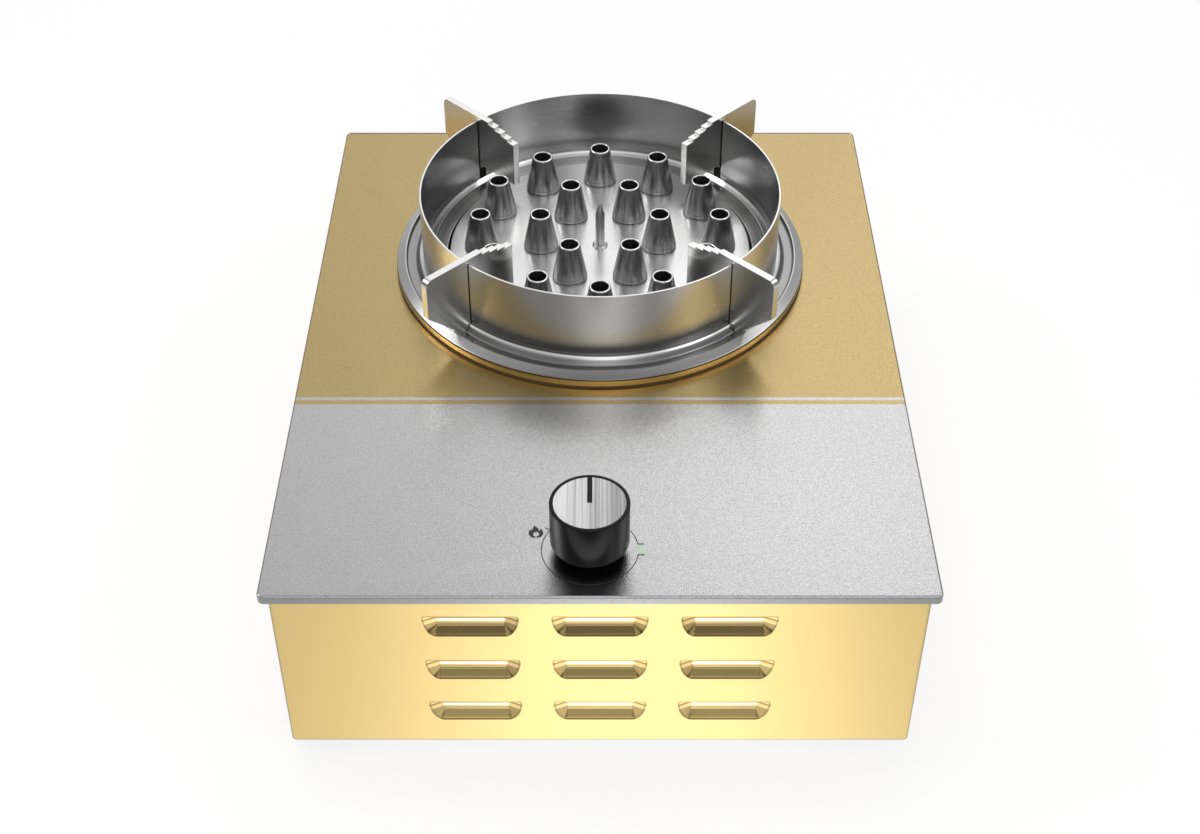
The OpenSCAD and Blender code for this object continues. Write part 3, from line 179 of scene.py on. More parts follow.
class BurnerSizes(bpy.types.PropertyGroup):
    """Sizes of the burner head, its nozzles and its pin, above the plate."""

    radius: length("Radius", "Radius of the burner head", 107)
    rise: length("Rise", "Height of the disc above the plate", 11.5)
    sheet: length("Sheet", "Thickness of the disc", 1.5)
    skirt: length("Skirt", "Height of the disc's turned-down edge", 10)
    outer_ring: length("Outer circle", "Radius of the outer circle of nozzles", 84.5)
    inner_ring: length("Inner circle", "Radius of the inner circle of nozzles", 42.1)
    nozzle_base: length("Nozzle base", "Radius of a nozzle at its base", 12.3)
    nozzle_top: length("Nozzle mouth", "Outer radius of a nozzle at its mouth", 7.25)
    nozzle_bore: length("Nozzle bore", "Radius of a nozzle's bore", 6)
    nozzle_height: length("Nozzle height", "Height of a nozzle above the disc", 27.3)
    pin_hole: length("Pin hole", "Radius of the disc's hole for the pin", 4.5)
    pin_radius: length("Pin radius", "Radius of the ignition pin", 3.25)
    pin_height: length("Pin height", "Height of the pin's tip above the disc", 36.5)
    pin_tip: length("Pin tip", "Length of the pin's point", 9)
    outer_count: IntProperty(name="Outer nozzles", description="Nozzles in the outer circle", default=12)
    inner_count: IntProperty(name="Inner nozzles", description="Nozzles in the inner circle", default=6)


class TraySizes(bpy.types.PropertyGroup):
    """Sizes of the drip tray, heights above the plate."""

    radius: length("Radius", "Outer radius of the tray", 145)
    width: length("Width", "Width of the tray from its outer edge to its hole", 36.4)
    lip: length("Lip", "Depth of the inner edge below the plate's top", 5)
    band_width: length("Band width", "Width of the inner band", 10.8)
    foot: length("Foot", "Height of the gasket under the tray", 1.2)
    edge: length("Edge", "Height of the tray's outer edge", 7)
    rim: length("Rim", "Height of the tray's rim", 10.2)
    trough: length("Trough", "Height of the outer trough", 7.4)
    bead: length("Bead", "Height of the bead under the ring", 12.6)
    band: length("Band", "Height of the inner band", 9.6)
    sheet: length("Sheet", "Thickness of the tray's sheet", 1)


class RingSizes(bpy.types.PropertyGroup):
    """Sizes of the wok ring and its arms, heights above the plate."""

    radius: length("Radius", "Outer radius of the ring", 126)
    wall: length("Wall", "Thickness of the ring's wall", 1.5)
    top: length("Top", "Height of the ring's rim", 61)
    slot_low: length("Slot", "Height at which the slots for the arms start", 20.1)
    arm_thickness: length("Arm", "Thickness of an arm", 5.2)
    arm_outer: length("Arm reach", "Radius of an arm's outer end", 162)
    arm_inner: length("Arm tip", "Radius of an arm's inner end", 86.2)
    arm_top: length("Arm top", "Height of an arm's outer corner", 65)
    arm_end: length("Arm end", "Depth of an arm's outer end", 30)
    arm_slope: length("Arm slope", "Drop of the top edge to the steps", 0.2)
    step_width: length("Step", "Length of one step", 6.7)
    step_height: length("Step drop", "Drop of one step", 1.9)
    arm_corner: length("Arm corner", "Radius of the outer top corner", 5)
    steps: IntProperty(name="Steps", description="Steps in an arm's inner end", default=4)


class KnobSizes(bpy.types.PropertyGroup):
    """Sizes of the knob, heights above the plate."""

    radius: length("Radius", "Radius of the knob", 23.8)
    top: length("Top", "Height of the knob's top", 38.9)
    gap: length("Gap", "Gap between the plate and the knob", 6)
    rim: length("Rim", "Width of the black rim round the cap", 2.2)
    taper: length("Taper", "How far the skirt is drawn in at its foot", 2)
    taper_height: length("Taper height", "Height of the drawn-in foot", 3.5)
    wall: length("Wall", "Thickness of the skirt", 2.4)
    deck: length("Deck", "Depth from the knob's top to the hollow under it", 5)
    cap: length("Cap", "Thickness of the cap", 1.2)
    pointer: length("Pointer", "Width of the pointer", 2.7)


# Meshes


def keep(work, name, material, body, smooth=True):
    """Turns a bmesh into a piece that rides on a body."""
    bmesh.ops.remove_doubles(work, verts=work.verts, dist=WELD)
    mesh = bpy.data.meshes.new(name)
    work.to_mesh(mesh)
    work.free()
    for polygon in mesh.polygons:
        polygon.use_smooth = smooth
    piece = bpy.data.objects.new(name, mesh)
    bpy.context.collection.objects.link(piece)
    mesh.materials.append(material)
    if smooth:
        mesh.set_sharp_from_angle(angle=math.radians(32))
    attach(piece, body)
    return piece


def face_towards(piece, direction):
    """Turns a sheet's faces over where its largest face along a direction points against it."""
    direction = Vector(direction)
    largest = max(piece.data.polygons, key=lambda face: face.area * (abs(face.normal.dot(direction)) > 0.9))
    if largest.normal.dot(direction) < 0:
        piece.data.flip_normals()


def solidify(piece, thickness):
    """Gives a sheet piece its thickness, inwards."""
    wall = piece.modifiers.new("Sheet", "SOLIDIFY")
    wall.thickness = thickness
    wall.offset = -1
    wall.use_even_offset = True


def soften(piece, width, segments=2, angle=40):
    """Rounds a piece's sharp edges."""
    edge = piece.modifiers.new("Edge", "BEVEL")
    edge.width = width
    edge.segments = segments
    edge.limit_method = "ANGLE"
    edge.angle_limit = math.radians(angle)
    edge.use_clamp_overlap = True


def settle(piece):
    """Keeps large flat faces flat where they run into rounded edges."""
    normals = piece.modifiers.new("Normals", "WEIGHTED_NORMAL")
    normals.mode = "FACE_AREA"
    normals.weight = 50
    normals.keep_sharp = True


def spin(work, profile, centre, steps, closed=False):
    """Spins a line of (radius, height) points round an upright axis; a closed line makes a wall."""
    verts = [work.verts.new((centre.x + radius, centre.y, centre.z + height)) for radius, height in profile]
    after = verts[1:] + verts[:1] if closed else verts[1:]
    edges = [work.edges.new(pair) for pair in zip(verts, after)]
    bmesh.ops.spin(
        work, geom=verts + edges, cent=centre, axis=(0, 0, 1), dvec=(0, 0, 0),
        angle=2 * math.pi, steps=steps, use_merge=True, use_duplicate=False,
    )
    bmesh.ops.remove_doubles(work, verts=work.verts, dist=WELD)
    bmesh.ops.recalc_face_normals(work, faces=work.faces)


def fillet(points, radii, steps=4):
    """Rounds the corners of an open line of (x, y) points; a radius of 0 keeps a corner."""
    result = [points[0]]
    for before, point, after, radius in zip(points, points[1:], points[2:], radii[1:]):
        here = Vector(point)
        if radius <= 0:
            result.append(point)
            continue
        back, ahead = Vector(before) - here, Vector(after) - here
        reach = min(radius / math.tan(back.angle(ahead) / 2), back.length * 0.48, ahead.length * 0.48)
        start = here + back.normalized() * reach
        end = here + ahead.normalized() * reach
        for step in range(steps + 1):
            share = step / steps
            result.append(tuple((1 - share) ** 2 * start + 2 * share * (1 - share) * here + share ** 2 * end))
    return result + [points[-1]]


def in_mm(*values):
    """Millimetres as metres."""
    return [value * MM for value in values]


def closed_fillet(corners, radii, steps=3):
    """Rounds the corners of a closed line."""
    result = []
    for index, (corner, radius) in enumerate(zip(corners, radii)):
        if radius <= 0:
            result.append(corner)
            continue
        three = [corners[index - 1], corner, corners[(index + 1) % len(corners)]]
        result += fillet(three, [0, radius, 0], steps)[1:-1]
    return result


def rounded_loop(half_x, half_y, corner, steps=8):
    """Points of a rounded rectangle round the origin."""
    points = []
    for quarter in range(4):
        side_x = half_x - corner if quarter in (0, 3) else corner - half_x
        side_y = half_y - corner if quarter in (0, 1) else corner - half_y
        for step in range(steps + 1):
            angle = math.pi / 2 * (quarter + step / steps)
            points.append((side_x + corner * math.cos(angle), side_y + corner * math.sin(angle)))
    return points


def circle(centre, radius, points):
    """Points of a circle, seen from above."""
    turns = [2 * math.pi * index / points for index in range(points)]
    return [(centre.x + radius * math.cos(turn), centre.y + radius * math.sin(turn)) for turn in turns]


def loop_edges(work, verts):
    """Edges round a closed loop of vertices."""
    pairs = zip(verts, verts[1:] + verts[:1])
    return [work.edges.get(pair) or work.edges.new(pair) for pair in pairs]


def join_loops(work, low, high):
    """Faces between two loops of the same number of vertices."""
    for index in range(len(low)):
        work.faces.new((low[index - 1], low[index], high[index], high[index - 1]))


def fill(work, edges):
    """Fills the area that closed lines of edges enclose, holes left open."""
    bmesh.ops.triangle_fill(work, edges=edges, use_beauty=True, use_dissolve=False)


def prism(work, outlines):
    """A solid between two outlines with the same number of points."""
    loops = [[work.verts.new(point) for point in outline] for outline in outlines]
    join_loops(work, *loops)
    for loop in loops:
        if len(loop) == 4:
            work.faces.new(loop)
        else:
            fill(work, loop_edges(work, loop))
    bmesh.ops.recalc_face_normals(work, faces=work.faces)


def plate_loop(work, sizes, inset, drop):
    """Vertices round the plate, drawn in by an inset, at a height from its top."""
    corner = max(sizes.corner - inset, sizes.corner / 8)
    points = rounded_loop(PLATE_HALF.x - inset, PLATE_HALF.y - inset, corner)
    return [work.verts.new((PLATE.x + x, PLATE.y + y, PLATE_TOP + drop)) for x, y in points]


def plate_mesh(sizes):
    """The worktop plate's skin: rim, soft edge, top with its holes and the return under the rim."""
    work = bmesh.new()
    rim, edge = RIM - PLATE_TOP, sizes.edge
    steps = (
        (0, rim), (0, -edge), (edge * 0.07, -edge * 0.6), (edge * 0.3, -edge * 0.3),
        (edge * 0.6, -edge * 0.07), (edge, 0),
    )
    loops = [plate_loop(work, sizes, inset, drop) for inset, drop in steps]
    for low, high in zip(loops, loops[1:]):
        join_loops(work, low, high)
    edges = loop_edges(work, loops[-1])
    for centre, radius, points in ((BURNER, sizes.hole, 96), (KNOB, sizes.bush_hole, 32)):
        hole = circle(centre, radius, points)
        edges += loop_edges(work, [work.verts.new((x, y, PLATE_TOP)) for x, y in hole])
    fill(work, edges)
    # The return is a strip of its own here, and its sheet thickens downwards
    join_loops(work, plate_loop(work, sizes, sizes.fold, rim), plate_loop(work, sizes, 0, rim))
    bmesh.ops.recalc_face_normals(work, faces=work.faces)
    return work


def line_strip(work, points, width, z):
    """A thin flat line through points on a surface."""
    left, right = [], []
    for index, point in enumerate(points):
        along = points[min(index + 1, len(points) - 1)] - points[max(index - 1, 0)]
        across = Vector((-along.y, along.x)).normalized() * width / 2
        left.append(work.verts.new((*(point + across), z)))
        right.append(work.verts.new((*(point - across), z)))
    for index in range(len(points) - 1):
        work.faces.new((right[index], right[index + 1], left[index + 1], left[index]))


def flat_shape(work, points, z):
    """A flat filled outline on a surface."""
    fill(work, loop_edges(work, [work.verts.new((x, y, z)) for x, y in points]))


def louvre_ramp(share):
    """How deep a louvre lies at a share of the way up its ramp, with soft ends."""
    lip, foot = 0.07, 0.22
    slope = 1 / (1 - lip / 2 - foot / 2)
    if share < lip:
        return slope * share * share / (2 * lip)
    if share > 1 - foot:
        return 1 - slope * (1 - share) ** 2 / (2 * foot)
    return slope * (share - lip / 2)


def louvre_columns(case, turn_steps=18, bunching=1.6):
    """(outer, inner) points of the ramp round a louvre, from its upper right corner to its upper left."""
    base = case.louvre_base / 2
    corner = (case.louvre_width - case.louvre_base) / 2
    rounding = case.louvre_corner
    right = []
    for step in range(turn_steps + 1):
        turn = math.pi / 2 * (step / turn_steps) ** bunching
        drop = case.louvre_height * math.sin(turn)
        cut = rounding * (1 - math.sqrt(1 - max(1 - drop / rounding, 0) ** 2))
        outer = (base + corner * math.cos(turn) - cut, -drop)
        right.append((outer, (base, -case.louvre_land * math.sin(turn))))
    return right + [((-outer[0], outer[1]), (-inner[0], inner[1])) for outer, inner in reversed(right)]


def louvre(work, case, centre_x, top_z, face_y, rings=20):
    """Presses one louvre into the front, open along its top; gives back its outline."""
    columns = louvre_columns(case)
    rows = []
    for ring in range(rings + 1):
        share = 0.5 - 0.5 * math.cos(math.pi * ring / rings)
        depth = case.louvre_depth * louvre_ramp(share)
        rows.append([
            work.verts.new((
                centre_x + outer[0] + (inner[0] - outer[0]) * share,
                face_y + depth,
                top_z + outer[1] + (inner[1] - outer[1]) * share,
            ))
            for outer, inner in columns
        ])
    for low, high in zip(rows, rows[1:]):
        for index in range(len(columns) - 1):
            work.faces.new((low[index], low[index + 1], high[index + 1], high[index]))
    land = rows[-1]
    for index in range(len(land) // 2 - 1):
        work.faces.new((land[index], land[index + 1], land[-index - 2], land[-index - 1]))
    return rows[0]


def tray_profile(tray, ring):
    """The tray's upper skin as (radius, height) points, from the inner edge out."""
    hole, outer, seat = tray.radius - tray.width, tray.radius, ring.radius
    points = [
        (hole, -tray.lip), (hole, tray.band), (hole + tray.band_width, tray.band),
        (seat - 4.6 * MM, tray.bead - MM), (seat - 3.6 * MM, tray.bead),
        (seat + 1.4 * MM, tray.bead), (seat + 2.4 * MM, tray.bead - MM),
        (seat + 5 * MM, tray.trough), (outer - 7.6 * MM, tray.trough),
        (outer - 6.8 * MM, tray.rim), (outer - 5.8 * MM, tray.rim), (outer, tray.edge), (outer, tray.foot),
    ]
    return fillet(points, in_mm(0, 1, 1.6, 0.6, 0.6, 0.6, 0.6, 1.8, 1.2, 0.5, 0.9, 1.4, 0))


def nozzle_profile(burner):
    """A nozzle's closed outline as (radius, height) points above the disc."""
    base, top, bore, height = burner.nozzle_base, burner.nozzle_top, burner.nozzle_bore, burner.nozzle_height
    low, foot, bevel, inner_bevel = 0.2 * MM, 1.4 * MM, 0.4 * MM, 0.3 * MM
    corners = [
        (bore, low), (base - 0.9 * MM, low), (base, foot), (top, height - bevel),
        (top - bevel, height), (bore + inner_bevel, height), (bore, height - inner_bevel),
    ]
    return closed_fillet(corners, in_mm(0, 0.4, 0.6, 0.3, 0.2, 0.2, 0.2))


def arm_outline(ring, tray):
    """An arm's outline as (radius, height) points: its outer end, its steps and the foot in the trough."""
    out, top, corner = ring.arm_outer, ring.arm_top, ring.arm_corner
    points = [(out, top - ring.arm_end)]
    for step in range(7):
        turn = math.pi / 2 * step / 6
        points.append((out - corner + corner * math.cos(turn), top - corner + corner * math.sin(turn)))
    steps_from = ring.arm_inner + ring.steps * ring.step_width
    level = top - ring.arm_slope
    points.append((steps_from, level))
    for step in range(ring.steps):
        level -= ring.step_height
        points.append((steps_from - step * ring.step_width, level))
        points.append((steps_from - (step + 1) * ring.step_width, level))
    slot, trough = ring.slot_low + PLAY, tray.trough + PLAY
    under, bead = ring.slot_low + 3 * MM, tray.bead + 3 * PLAY
    inner, outer = ring.radius - ring.wall, ring.radius + 2 * PLAY
    heel, toe = ring.radius + 5.4 * MM, tray.radius - 8.6 * MM
    return points + [
        (ring.arm_inner, under), (inner - 4 * MM, under), (inner - 2 * PLAY, slot), (outer, slot),
        (outer, bead), (heel, bead), (heel, trough), (toe, trough), (toe, trough + 3 * MM),
    ]


def ring_wall(work, ring, low, turns, steps=48):
    """The ring's skin as a grid that leaves the slots for the arms open."""
    edge = (ring.arm_thickness / 2 + 2 * PLAY) / ring.radius
    span = 2 * math.pi / len(turns) - 2 * edge
    angles = [turn + edge + span * step / steps for turn in turns for step in range(steps + 1)]
    places = [BURNER + Vector((math.cos(turn), math.sin(turn), 0)) * ring.radius for turn in angles]
    rows = [
        [work.verts.new(place + Vector((0, 0, height))) for place in places]
        for height in (low, ring.slot_low, ring.top)
    ]
    for level in range(2):
        for index in range(len(angles)):
            slot = index % (steps + 1) == 0
            if level == 1 and slot:
                continue
            lower, upper = rows[level], rows[level + 1]
            work.faces.new((lower[index - 1], lower[index], upper[index], upper[index - 1]))
    bmesh.ops.recalc_face_normals(work, faces=work.faces)


# Finishes


class Sock:
    """A node's output with arithmetic, so that patterns read like sums."""

    def __init__(self, tree, socket):
        self.tree = tree
        self.socket = socket

    def _math(self, operation, *others):
        """A Math node on this output and others."""
        node = self.tree.nodes.new("ShaderNodeMath")
        node.operation = operation
        for target, value in zip(node.inputs, (self, *others)):
            feed(self.tree, target, value)
        return Sock(self.tree, node.outputs[0])

    def __add__(self, other):
        return self._math("ADD", other)

    def __mul__(self, other):
        return self._math("MULTIPLY", other)

    def __sub__(self, other):
        return self._math("SUBTRACT", other)

    def __rsub__(self, other):
        return self * -1 + other

    __radd__ = __add__
    __rmul__ = __mul__

    def clamp(self):
        """This value kept between 0 and 1."""
        return self._math("MAXIMUM", 0.0)._math("MINIMUM", 1.0)

    def above(self, level):
        """1 where this value is greater than a level."""
        return self._math("GREATER_THAN", level)

    def below(self, level):
        """1 where this value is less than a level."""
        return self._math("LESS_THAN", level)

    def magnitude(self):
        """This value without its sign."""
        return self._math("ABSOLUTE")

    def root(self):
        """This value's square root."""
        return self._math("SQRT")

    def wrap(self, length):
        """The remainder within a repeated length."""
        return self._math("WRAP", length, 0.0)

    def ramp(self, start, end):
        """0 at start, 1 at end and straight between."""
        return ((self - start) * (1 / (end - start))).clamp()

    def bell(self, centre, width):
        """A bell curve of this value, 1 at its centre."""
        off = (self - centre) * (1 / width)
        return (off * off * -1)._math("EXPONENT")


def feed(tree, target, value):
    """Sets an input to a value, or links an output to it."""
    if isinstance(value, Sock):
        tree.links.new(value.socket, target)
    elif isinstance(value, tuple) and len(value) == 3 and target.type == "RGBA":
        target.default_value = (*value, 1.0)
    else:
        target.default_value = value


def dim(colour, share):
    """A colour made darker, or brighter with a share over 1."""
    return tuple(channel * share for channel in colour)


class Tree:
    """A node tree and the nodes that patterns are made of."""

    def __init__(self, tree):
        self.tree = tree

    def node(self, kind, settings=None, **sockets):
        """A node of a kind, its settings first and then its sockets."""
        node = self.tree.nodes.new(kind)
        for name, value in (settings or {}).items():
            setattr(node, name, value)
        for name, value in sockets.items():
            feed(self.tree, node.inputs[name], value)
        return node

    def sock(self, node, output=0):
        """A node's output, ready for arithmetic."""
        return Sock(self.tree, node.outputs[output])

    def parts(self, vector):
        """The three values of a vector."""
        node = self.node("ShaderNodeSeparateXYZ", Vector=vector)
        return [self.sock(node, axis) for axis in range(3)]

    def place(self):
        """The object's own coordinates, in metres, and their parts."""
        coordinates = self.sock(self.node("ShaderNodeTexCoord"), "Object")
        return (coordinates, *self.parts(coordinates))

    def around(self, centre):
        """Distance from an upright axis, then sideways place, place along and height."""
        _, x, y, z = self.place()
        across, along = x - centre.x, y - centre.y
        return (across * across + along * along).root(), across, along, z

    def stretched(self, vector, scale):
        """Coordinates scaled for each axis."""
        node = self.node("ShaderNodeVectorMath", {"operation": "MULTIPLY"})
        feed(self.tree, node.inputs[0], vector)
        feed(self.tree, node.inputs[1], scale)
        return self.sock(node)

    def joined(self, x, y=0.0, z=0.0):
        """A vector from three values."""
        return self.sock(self.node("ShaderNodeCombineXYZ", X=x, Y=y, Z=z))

    def noise(self, vector, scale=1.0, detail=2.0, roughness=0.5):
        """A noise value between 0 and 1."""
        return self.sock(self.node(
            "ShaderNodeTexNoise", Vector=vector, Scale=scale, Detail=detail, Roughness=roughness
        ))

    def mix(self, share, first, second):
        """A colour between two colours."""
        node = self.node("ShaderNodeMix", {"data_type": "RGBA"})
        for index, value in ((0, share), (6, first), (7, second)):
            feed(self.tree, node.inputs[index], value)
        return self.sock(node, 2)

    def blend(self, share, first, second):
        """One of two shaders, by a share."""
        node = self.node("ShaderNodeMixShader")
        for target, value in zip(node.inputs, (share, first, second)):
            feed(self.tree, target, value)
        return self.sock(node)

    def glow(self, kind, strength, level):
        """A grey Background or Emission with a strength, fed by a level."""
        grey = self.sock(self.node("ShaderNodeCombineColor", Red=level, Green=level, Blue=level))
        return self.sock(self.node(kind, Color=grey, Strength=strength))

    def seen_by(self, ray):
        """1 for rays of a kind."""
        return self.sock(self.node("ShaderNodeLightPath"), ray)


class Finish(Tree):
    """A material with one Principled shader and what feeds it."""

    def __init__(self, name, colour, roughness, metallic=0.0):
        self.material = bpy.data.materials.new(name)
        self.material.use_nodes = True
        super().__init__(self.material.node_tree)
        self.shader = self.tree.nodes["Principled BSDF"]
        self.put("Base Color", colour)
        self.put("Roughness", roughness)
        self.put("Metallic", metallic)

    def put(self, socket, value):
        """Feeds a socket of the shader with a value or an output."""
        feed(self.tree, self.shader.inputs[socket], value)

    def bump(self, height, distance):
        """Feeds the shader's normal with a relief."""
        node = self.node("ShaderNodeBump", Height=height, Distance=distance, Strength=1.0)
        self.put("Normal", self.sock(node))


def sheet_steel(name, colour, roughness, grain=900.0, relief=0.00002, spread=0.06):
    """Satin sheet with a fine pressed grain."""
    finish = Finish(name, colour, roughness, metallic=1.0)
    place = finish.place()[0]
    fine = finish.noise(place, grain, 3.0)
    broad = finish.noise(place, 14.0)
    finish.put("Roughness", (fine - 0.5) * spread + (broad - 0.5) * spread + roughness)
    finish.put("Base Color", finish.mix((fine - 0.35) * 1.6, dim(colour, 0.86), colour))
    finish.bump(fine, relief)
    return finish.material


def turned_metal(name, colour, roughness, pitch, contrast):
    """Metal with the fine circles that a lathe leaves round the burner's axis."""
    finish = Finish(name, colour, roughness, metallic=1.0)
    reach, _, _, z = finish.around(BURNER)
    rings = finish.noise(finish.joined(reach * (1 / pitch), z * 300))
    finish.put("Roughness", (rings - 0.5) * contrast + roughness)
    finish.put("Base Color", finish.mix(rings, dim(colour, 0.8), colour))
    finish.bump(rings, 0.00001)
    return finish.material


def grained(finish, colour, roughness, fine, spread, dark, relief):
    """Gives a finish an even grain in its colour, its roughness and its relief."""
    finish.put("Roughness", (fine - 0.5) * spread + roughness)
    finish.put("Base Color", finish.mix(fine, dim(colour, dark), colour))
    finish.bump(fine, relief)
    return finish.material


def cast_metal(name, colour, roughness, grain=420.0, relief=0.00012):
    """Rough cast metal."""
    finish = Finish(name, colour, roughness, metallic=1.0)
    pits = finish.noise(finish.place()[0], grain, 4.0, 0.6)
    return grained(finish, colour, roughness, pits, 0.3, 0.7, relief)


def moulded(name, colour, roughness, grain=700.0, relief=0.00003, coat=0.0):
    """Plastic, rubber or print with a fine moulded grain."""
    finish = Finish(name, colour, roughness)
    if coat:
        finish.put("Coat Weight", coat)
        finish.put("Coat Roughness", 0.08)
    return grained(finish, colour, roughness, finish.noise(finish.place()[0], grain), 0.12, 0.85, relief)


def plate_finish(plate, colours):
    """The plate's two tones, its stripe, its grain, and painted shade on its rim, along its side edges and
    along its rear edge.
    """
    silver, gold = tuple(colours.silver), tuple(colours.gold)
    finish = Finish("plate_finish", silver, 0.19, metallic=1.0)
    place, x, y, z = finish.place()
    stripe = PLATE.y - PLATE_HALF.y + plate.front_tone
    gap = stripe + plate.stripe
    golden = (y.above(stripe) * y.below(gap) + y.above(gap + plate.gap)).clamp()
    fine = finish.noise(place, 1700.0, 1.0, 0.6)
    speck = finish.noise(place, 700.0, 3.0, 0.6)
    grain = fine * 0.7 + speck * 0.3
    bright = finish.mix(golden, silver, gold)
    dark = finish.mix(golden, dim(silver, 0.68), dim(gold, 0.72))
    face = finish.mix(((grain - 0.3) * 3.4).clamp(), dark, bright)
    # Painted shade: the rim below the soft top edge is a darker silver.
    rim = 1 - z.ramp(PLATE_TOP - 1.1 * MM, PLATE_TOP - 0.5 * MM)
    face = finish.mix(rim, face, dim(silver, 0.55))
    # Painted shade: dark lines along the side edges and the rear edge.
    sides = (x - PLATE.x).magnitude().ramp(PLATE_HALF.x - 1.1 * MM, PLATE_HALF.x - 0.7 * MM) * 0.6
    rear = (y - PLATE.y).ramp(PLATE_HALF.y - 2.6 * MM, PLATE_HALF.y - 2 * MM) * 0.9
    finish.put("Base Color", finish.mix((sides + rear).clamp(), face, (0.09, 0.08, 0.06)))
    finish.put("Roughness", (speck - 0.5) * 0.1 + 0.19 + golden * 0.03)
    finish.bump(grain, 0.00014)
    return finish.material


def brushed_cap(colour):
    """The knob's cap: brushed in straight lines from front to back, with a painted sheen that makes it
    brighter at the left.
    """
    finish = Finish("knob_silver", colour, 0.3, metallic=1.0)
    place, x, _, _ = finish.place()
    lines = finish.noise(finish.stretched(place, (2600.0, 14.0, 1.0)), detail=3.0, roughness=0.6)
    broad = finish.noise(finish.stretched(place, (520.0, 4.0, 1.0)))
    # Painted sheen: the cap is made brighter towards its left.
    painted_sheen = 1 - (x - KNOB.x).ramp(-20 * MM, 18 * MM)
    tone = ((lines - 0.5) * 1.7 + (broad - 0.5) * 1.5 + painted_sheen * 0.8 + 0.1).clamp()
    finish.put("Roughness", (lines - 0.5) * 0.25 + 0.3)
    finish.put("Base Color", finish.mix(tone, dim(colour, 0.37), colour))
    finish.bump(lines, 0.00003)
    return finish.material


class Colours(bpy.types.PropertyGroup):
    """Colours of the visible finishes, in linear values."""

    gold: tint("Gold", "Gold tone of the plate's rear and its stripe", (0.6, 0.455, 0.215))
    silver: tint("Silver", "Silver tone of the plate's front", (0.64, 0.64, 0.64))
    case: tint("Case", "Gold tone of the housing", (0.78, 0.58, 0.245))
    tray: tint("Tray", "Steel of the drip tray", (0.66, 0.66, 0.66))
    disc: tint("Disc", "Bright steel of the burner's disc", (0.97, 0.97, 0.97))
    nozzle: tint("Nozzle", "Grey steel of the nozzles", (0.48, 0.48, 0.48))
    ring: tint("Ring", "Steel of the wok ring", (0.7, 0.69, 0.67))
    # Painted shade: the ring's inside is a darker copy of its steel.
    ring_inside_shade: tint("Ring inside", "Darker inside of the wok ring", (0.37, 0.37, 0.37))
    arm: tint("Arm", "Steel of the arms", (0.66, 0.66, 0.65))
    pin: tint("Pin", "Steel of the ignition pin", (0.6, 0.6, 0.6))
    cap: tint("Cap", "Brushed aluminium of the knob's cap", (0.85, 0.85, 0.85))
    black: tint("Black", "Black of the knob", (0.004, 0.004, 0.0045))
    rubber: tint("Rubber", "Black of rubber parts", (0.016, 0.016, 0.016))
    brass: tint("Brass", "Brass of the valve and the nuts", (0.68, 0.46, 0.18))
    zinc: tint("Zinc", "Zinc-plated sheet of hidden parts", (0.5, 0.5, 0.49))
    print_ink: tint("Print", "Dark print round the knob", (0.03, 0.03, 0.03))
    print_green: tint("Green print", "Green patch of the print round the knob", (0.6, 0.78, 0.6))


GROUPS = {
    "plate": PlateSizes,
    "case": CaseSizes,
    "burner": BurnerSizes,
    "tray": TraySizes,
    "ring": RingSizes,
    "knob": KnobSizes,
    "colours": Colours,
}


class WokRange(bpy.types.PropertyGroup):
    """Everything that a user can change."""

    __annotations__ = {name: PointerProperty(type=group) for name, group in GROUPS.items()}


def ray(degrees):
    """A unit vector at an angle from the right, seen from above."""
    turn = math.radians(degrees)
    return Vector((math.cos(turn), math.sin(turn)))


class WR_OT_plate(bpy.types.Operator):
    """Build the worktop plate and the print round the knob"""

    bl_idname = "wok_range.plate"
    bl_label = "Plate"

    def execute(self, context):
        """Makes the plate's skin and its print."""
        setup = context.scene.wok_range
        sizes, colours = setup.plate, setup.colours
        plate = keep(plate_mesh(sizes), "worktop_plate", plate_finish(sizes, colours), "range")
        face_towards(plate, (0, 0, 1))
        solidify(plate, sizes.sheet)
        settle(plate)
        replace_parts(plate, "top_plate")
        self.marks(sizes, colours.print_ink)
        self.patch(sizes, colours.print_green)
        return {"FINISHED"}

    def marks(self, sizes, colour, steps=128):
        """Prints a circle round the knob with a stop mark, a start mark and a flame."""
        radius, line, start = sizes.dial_radius, sizes.dial_line, ray(START_TURN)
        whole = 360 - 2 * STOP_TURN
        lines = [([ray(STOP_TURN + whole * step / steps) * radius for step in range(steps + 1)], line)]
        for turn in (-STOP_TURN, STOP_TURN):
            end = ray(turn) * radius
            lines.append(([end, end + Vector((sizes.mark, 0))], line * 1.4))
        lines.append(([start * radius, start * (radius + sizes.mark)], line * 1.2))
        work = bmesh.new()
        for points, width in lines:
            line_strip(work, [KNOB.xy + point for point in points], width, PLATE_TOP + PRINT_LIFT)
        spot = KNOB.xy + Vector(sizes.flame_place)
        flat_shape(work, [spot + Vector(point) * sizes.flame for point in FLAME], PLATE_TOP + PRINT_LIFT)
        self.ink(work, "dial_print", "print_ink", colour)

    def patch(self, sizes, colour):
        """Prints the patch between the two lines of the stop mark."""
        end = ray(STOP_TURN) * sizes.dial_radius
        near, far, high = end.x - 0.3 * MM, end.x + sizes.mark + 0.4 * MM, end.y * 0.85
        corners = ((near, -high), (far, -high), (far, high), (near, high))
        work = bmesh.new()
        flat_shape(work, [KNOB.xy + Vector(corner) for corner in corners], PLATE_TOP + PRINT_LIFT)
        self.ink(work, "dial_stop", "print_green", colour)

    def ink(self, work, name, material, colour):
        """Keeps a flat mesh as a printed mark."""
        bmesh.ops.recalc_face_normals(work, faces=work.faces)
        keep(work, name, moulded(material, tuple(colour), 0.5), "range", smooth=False)


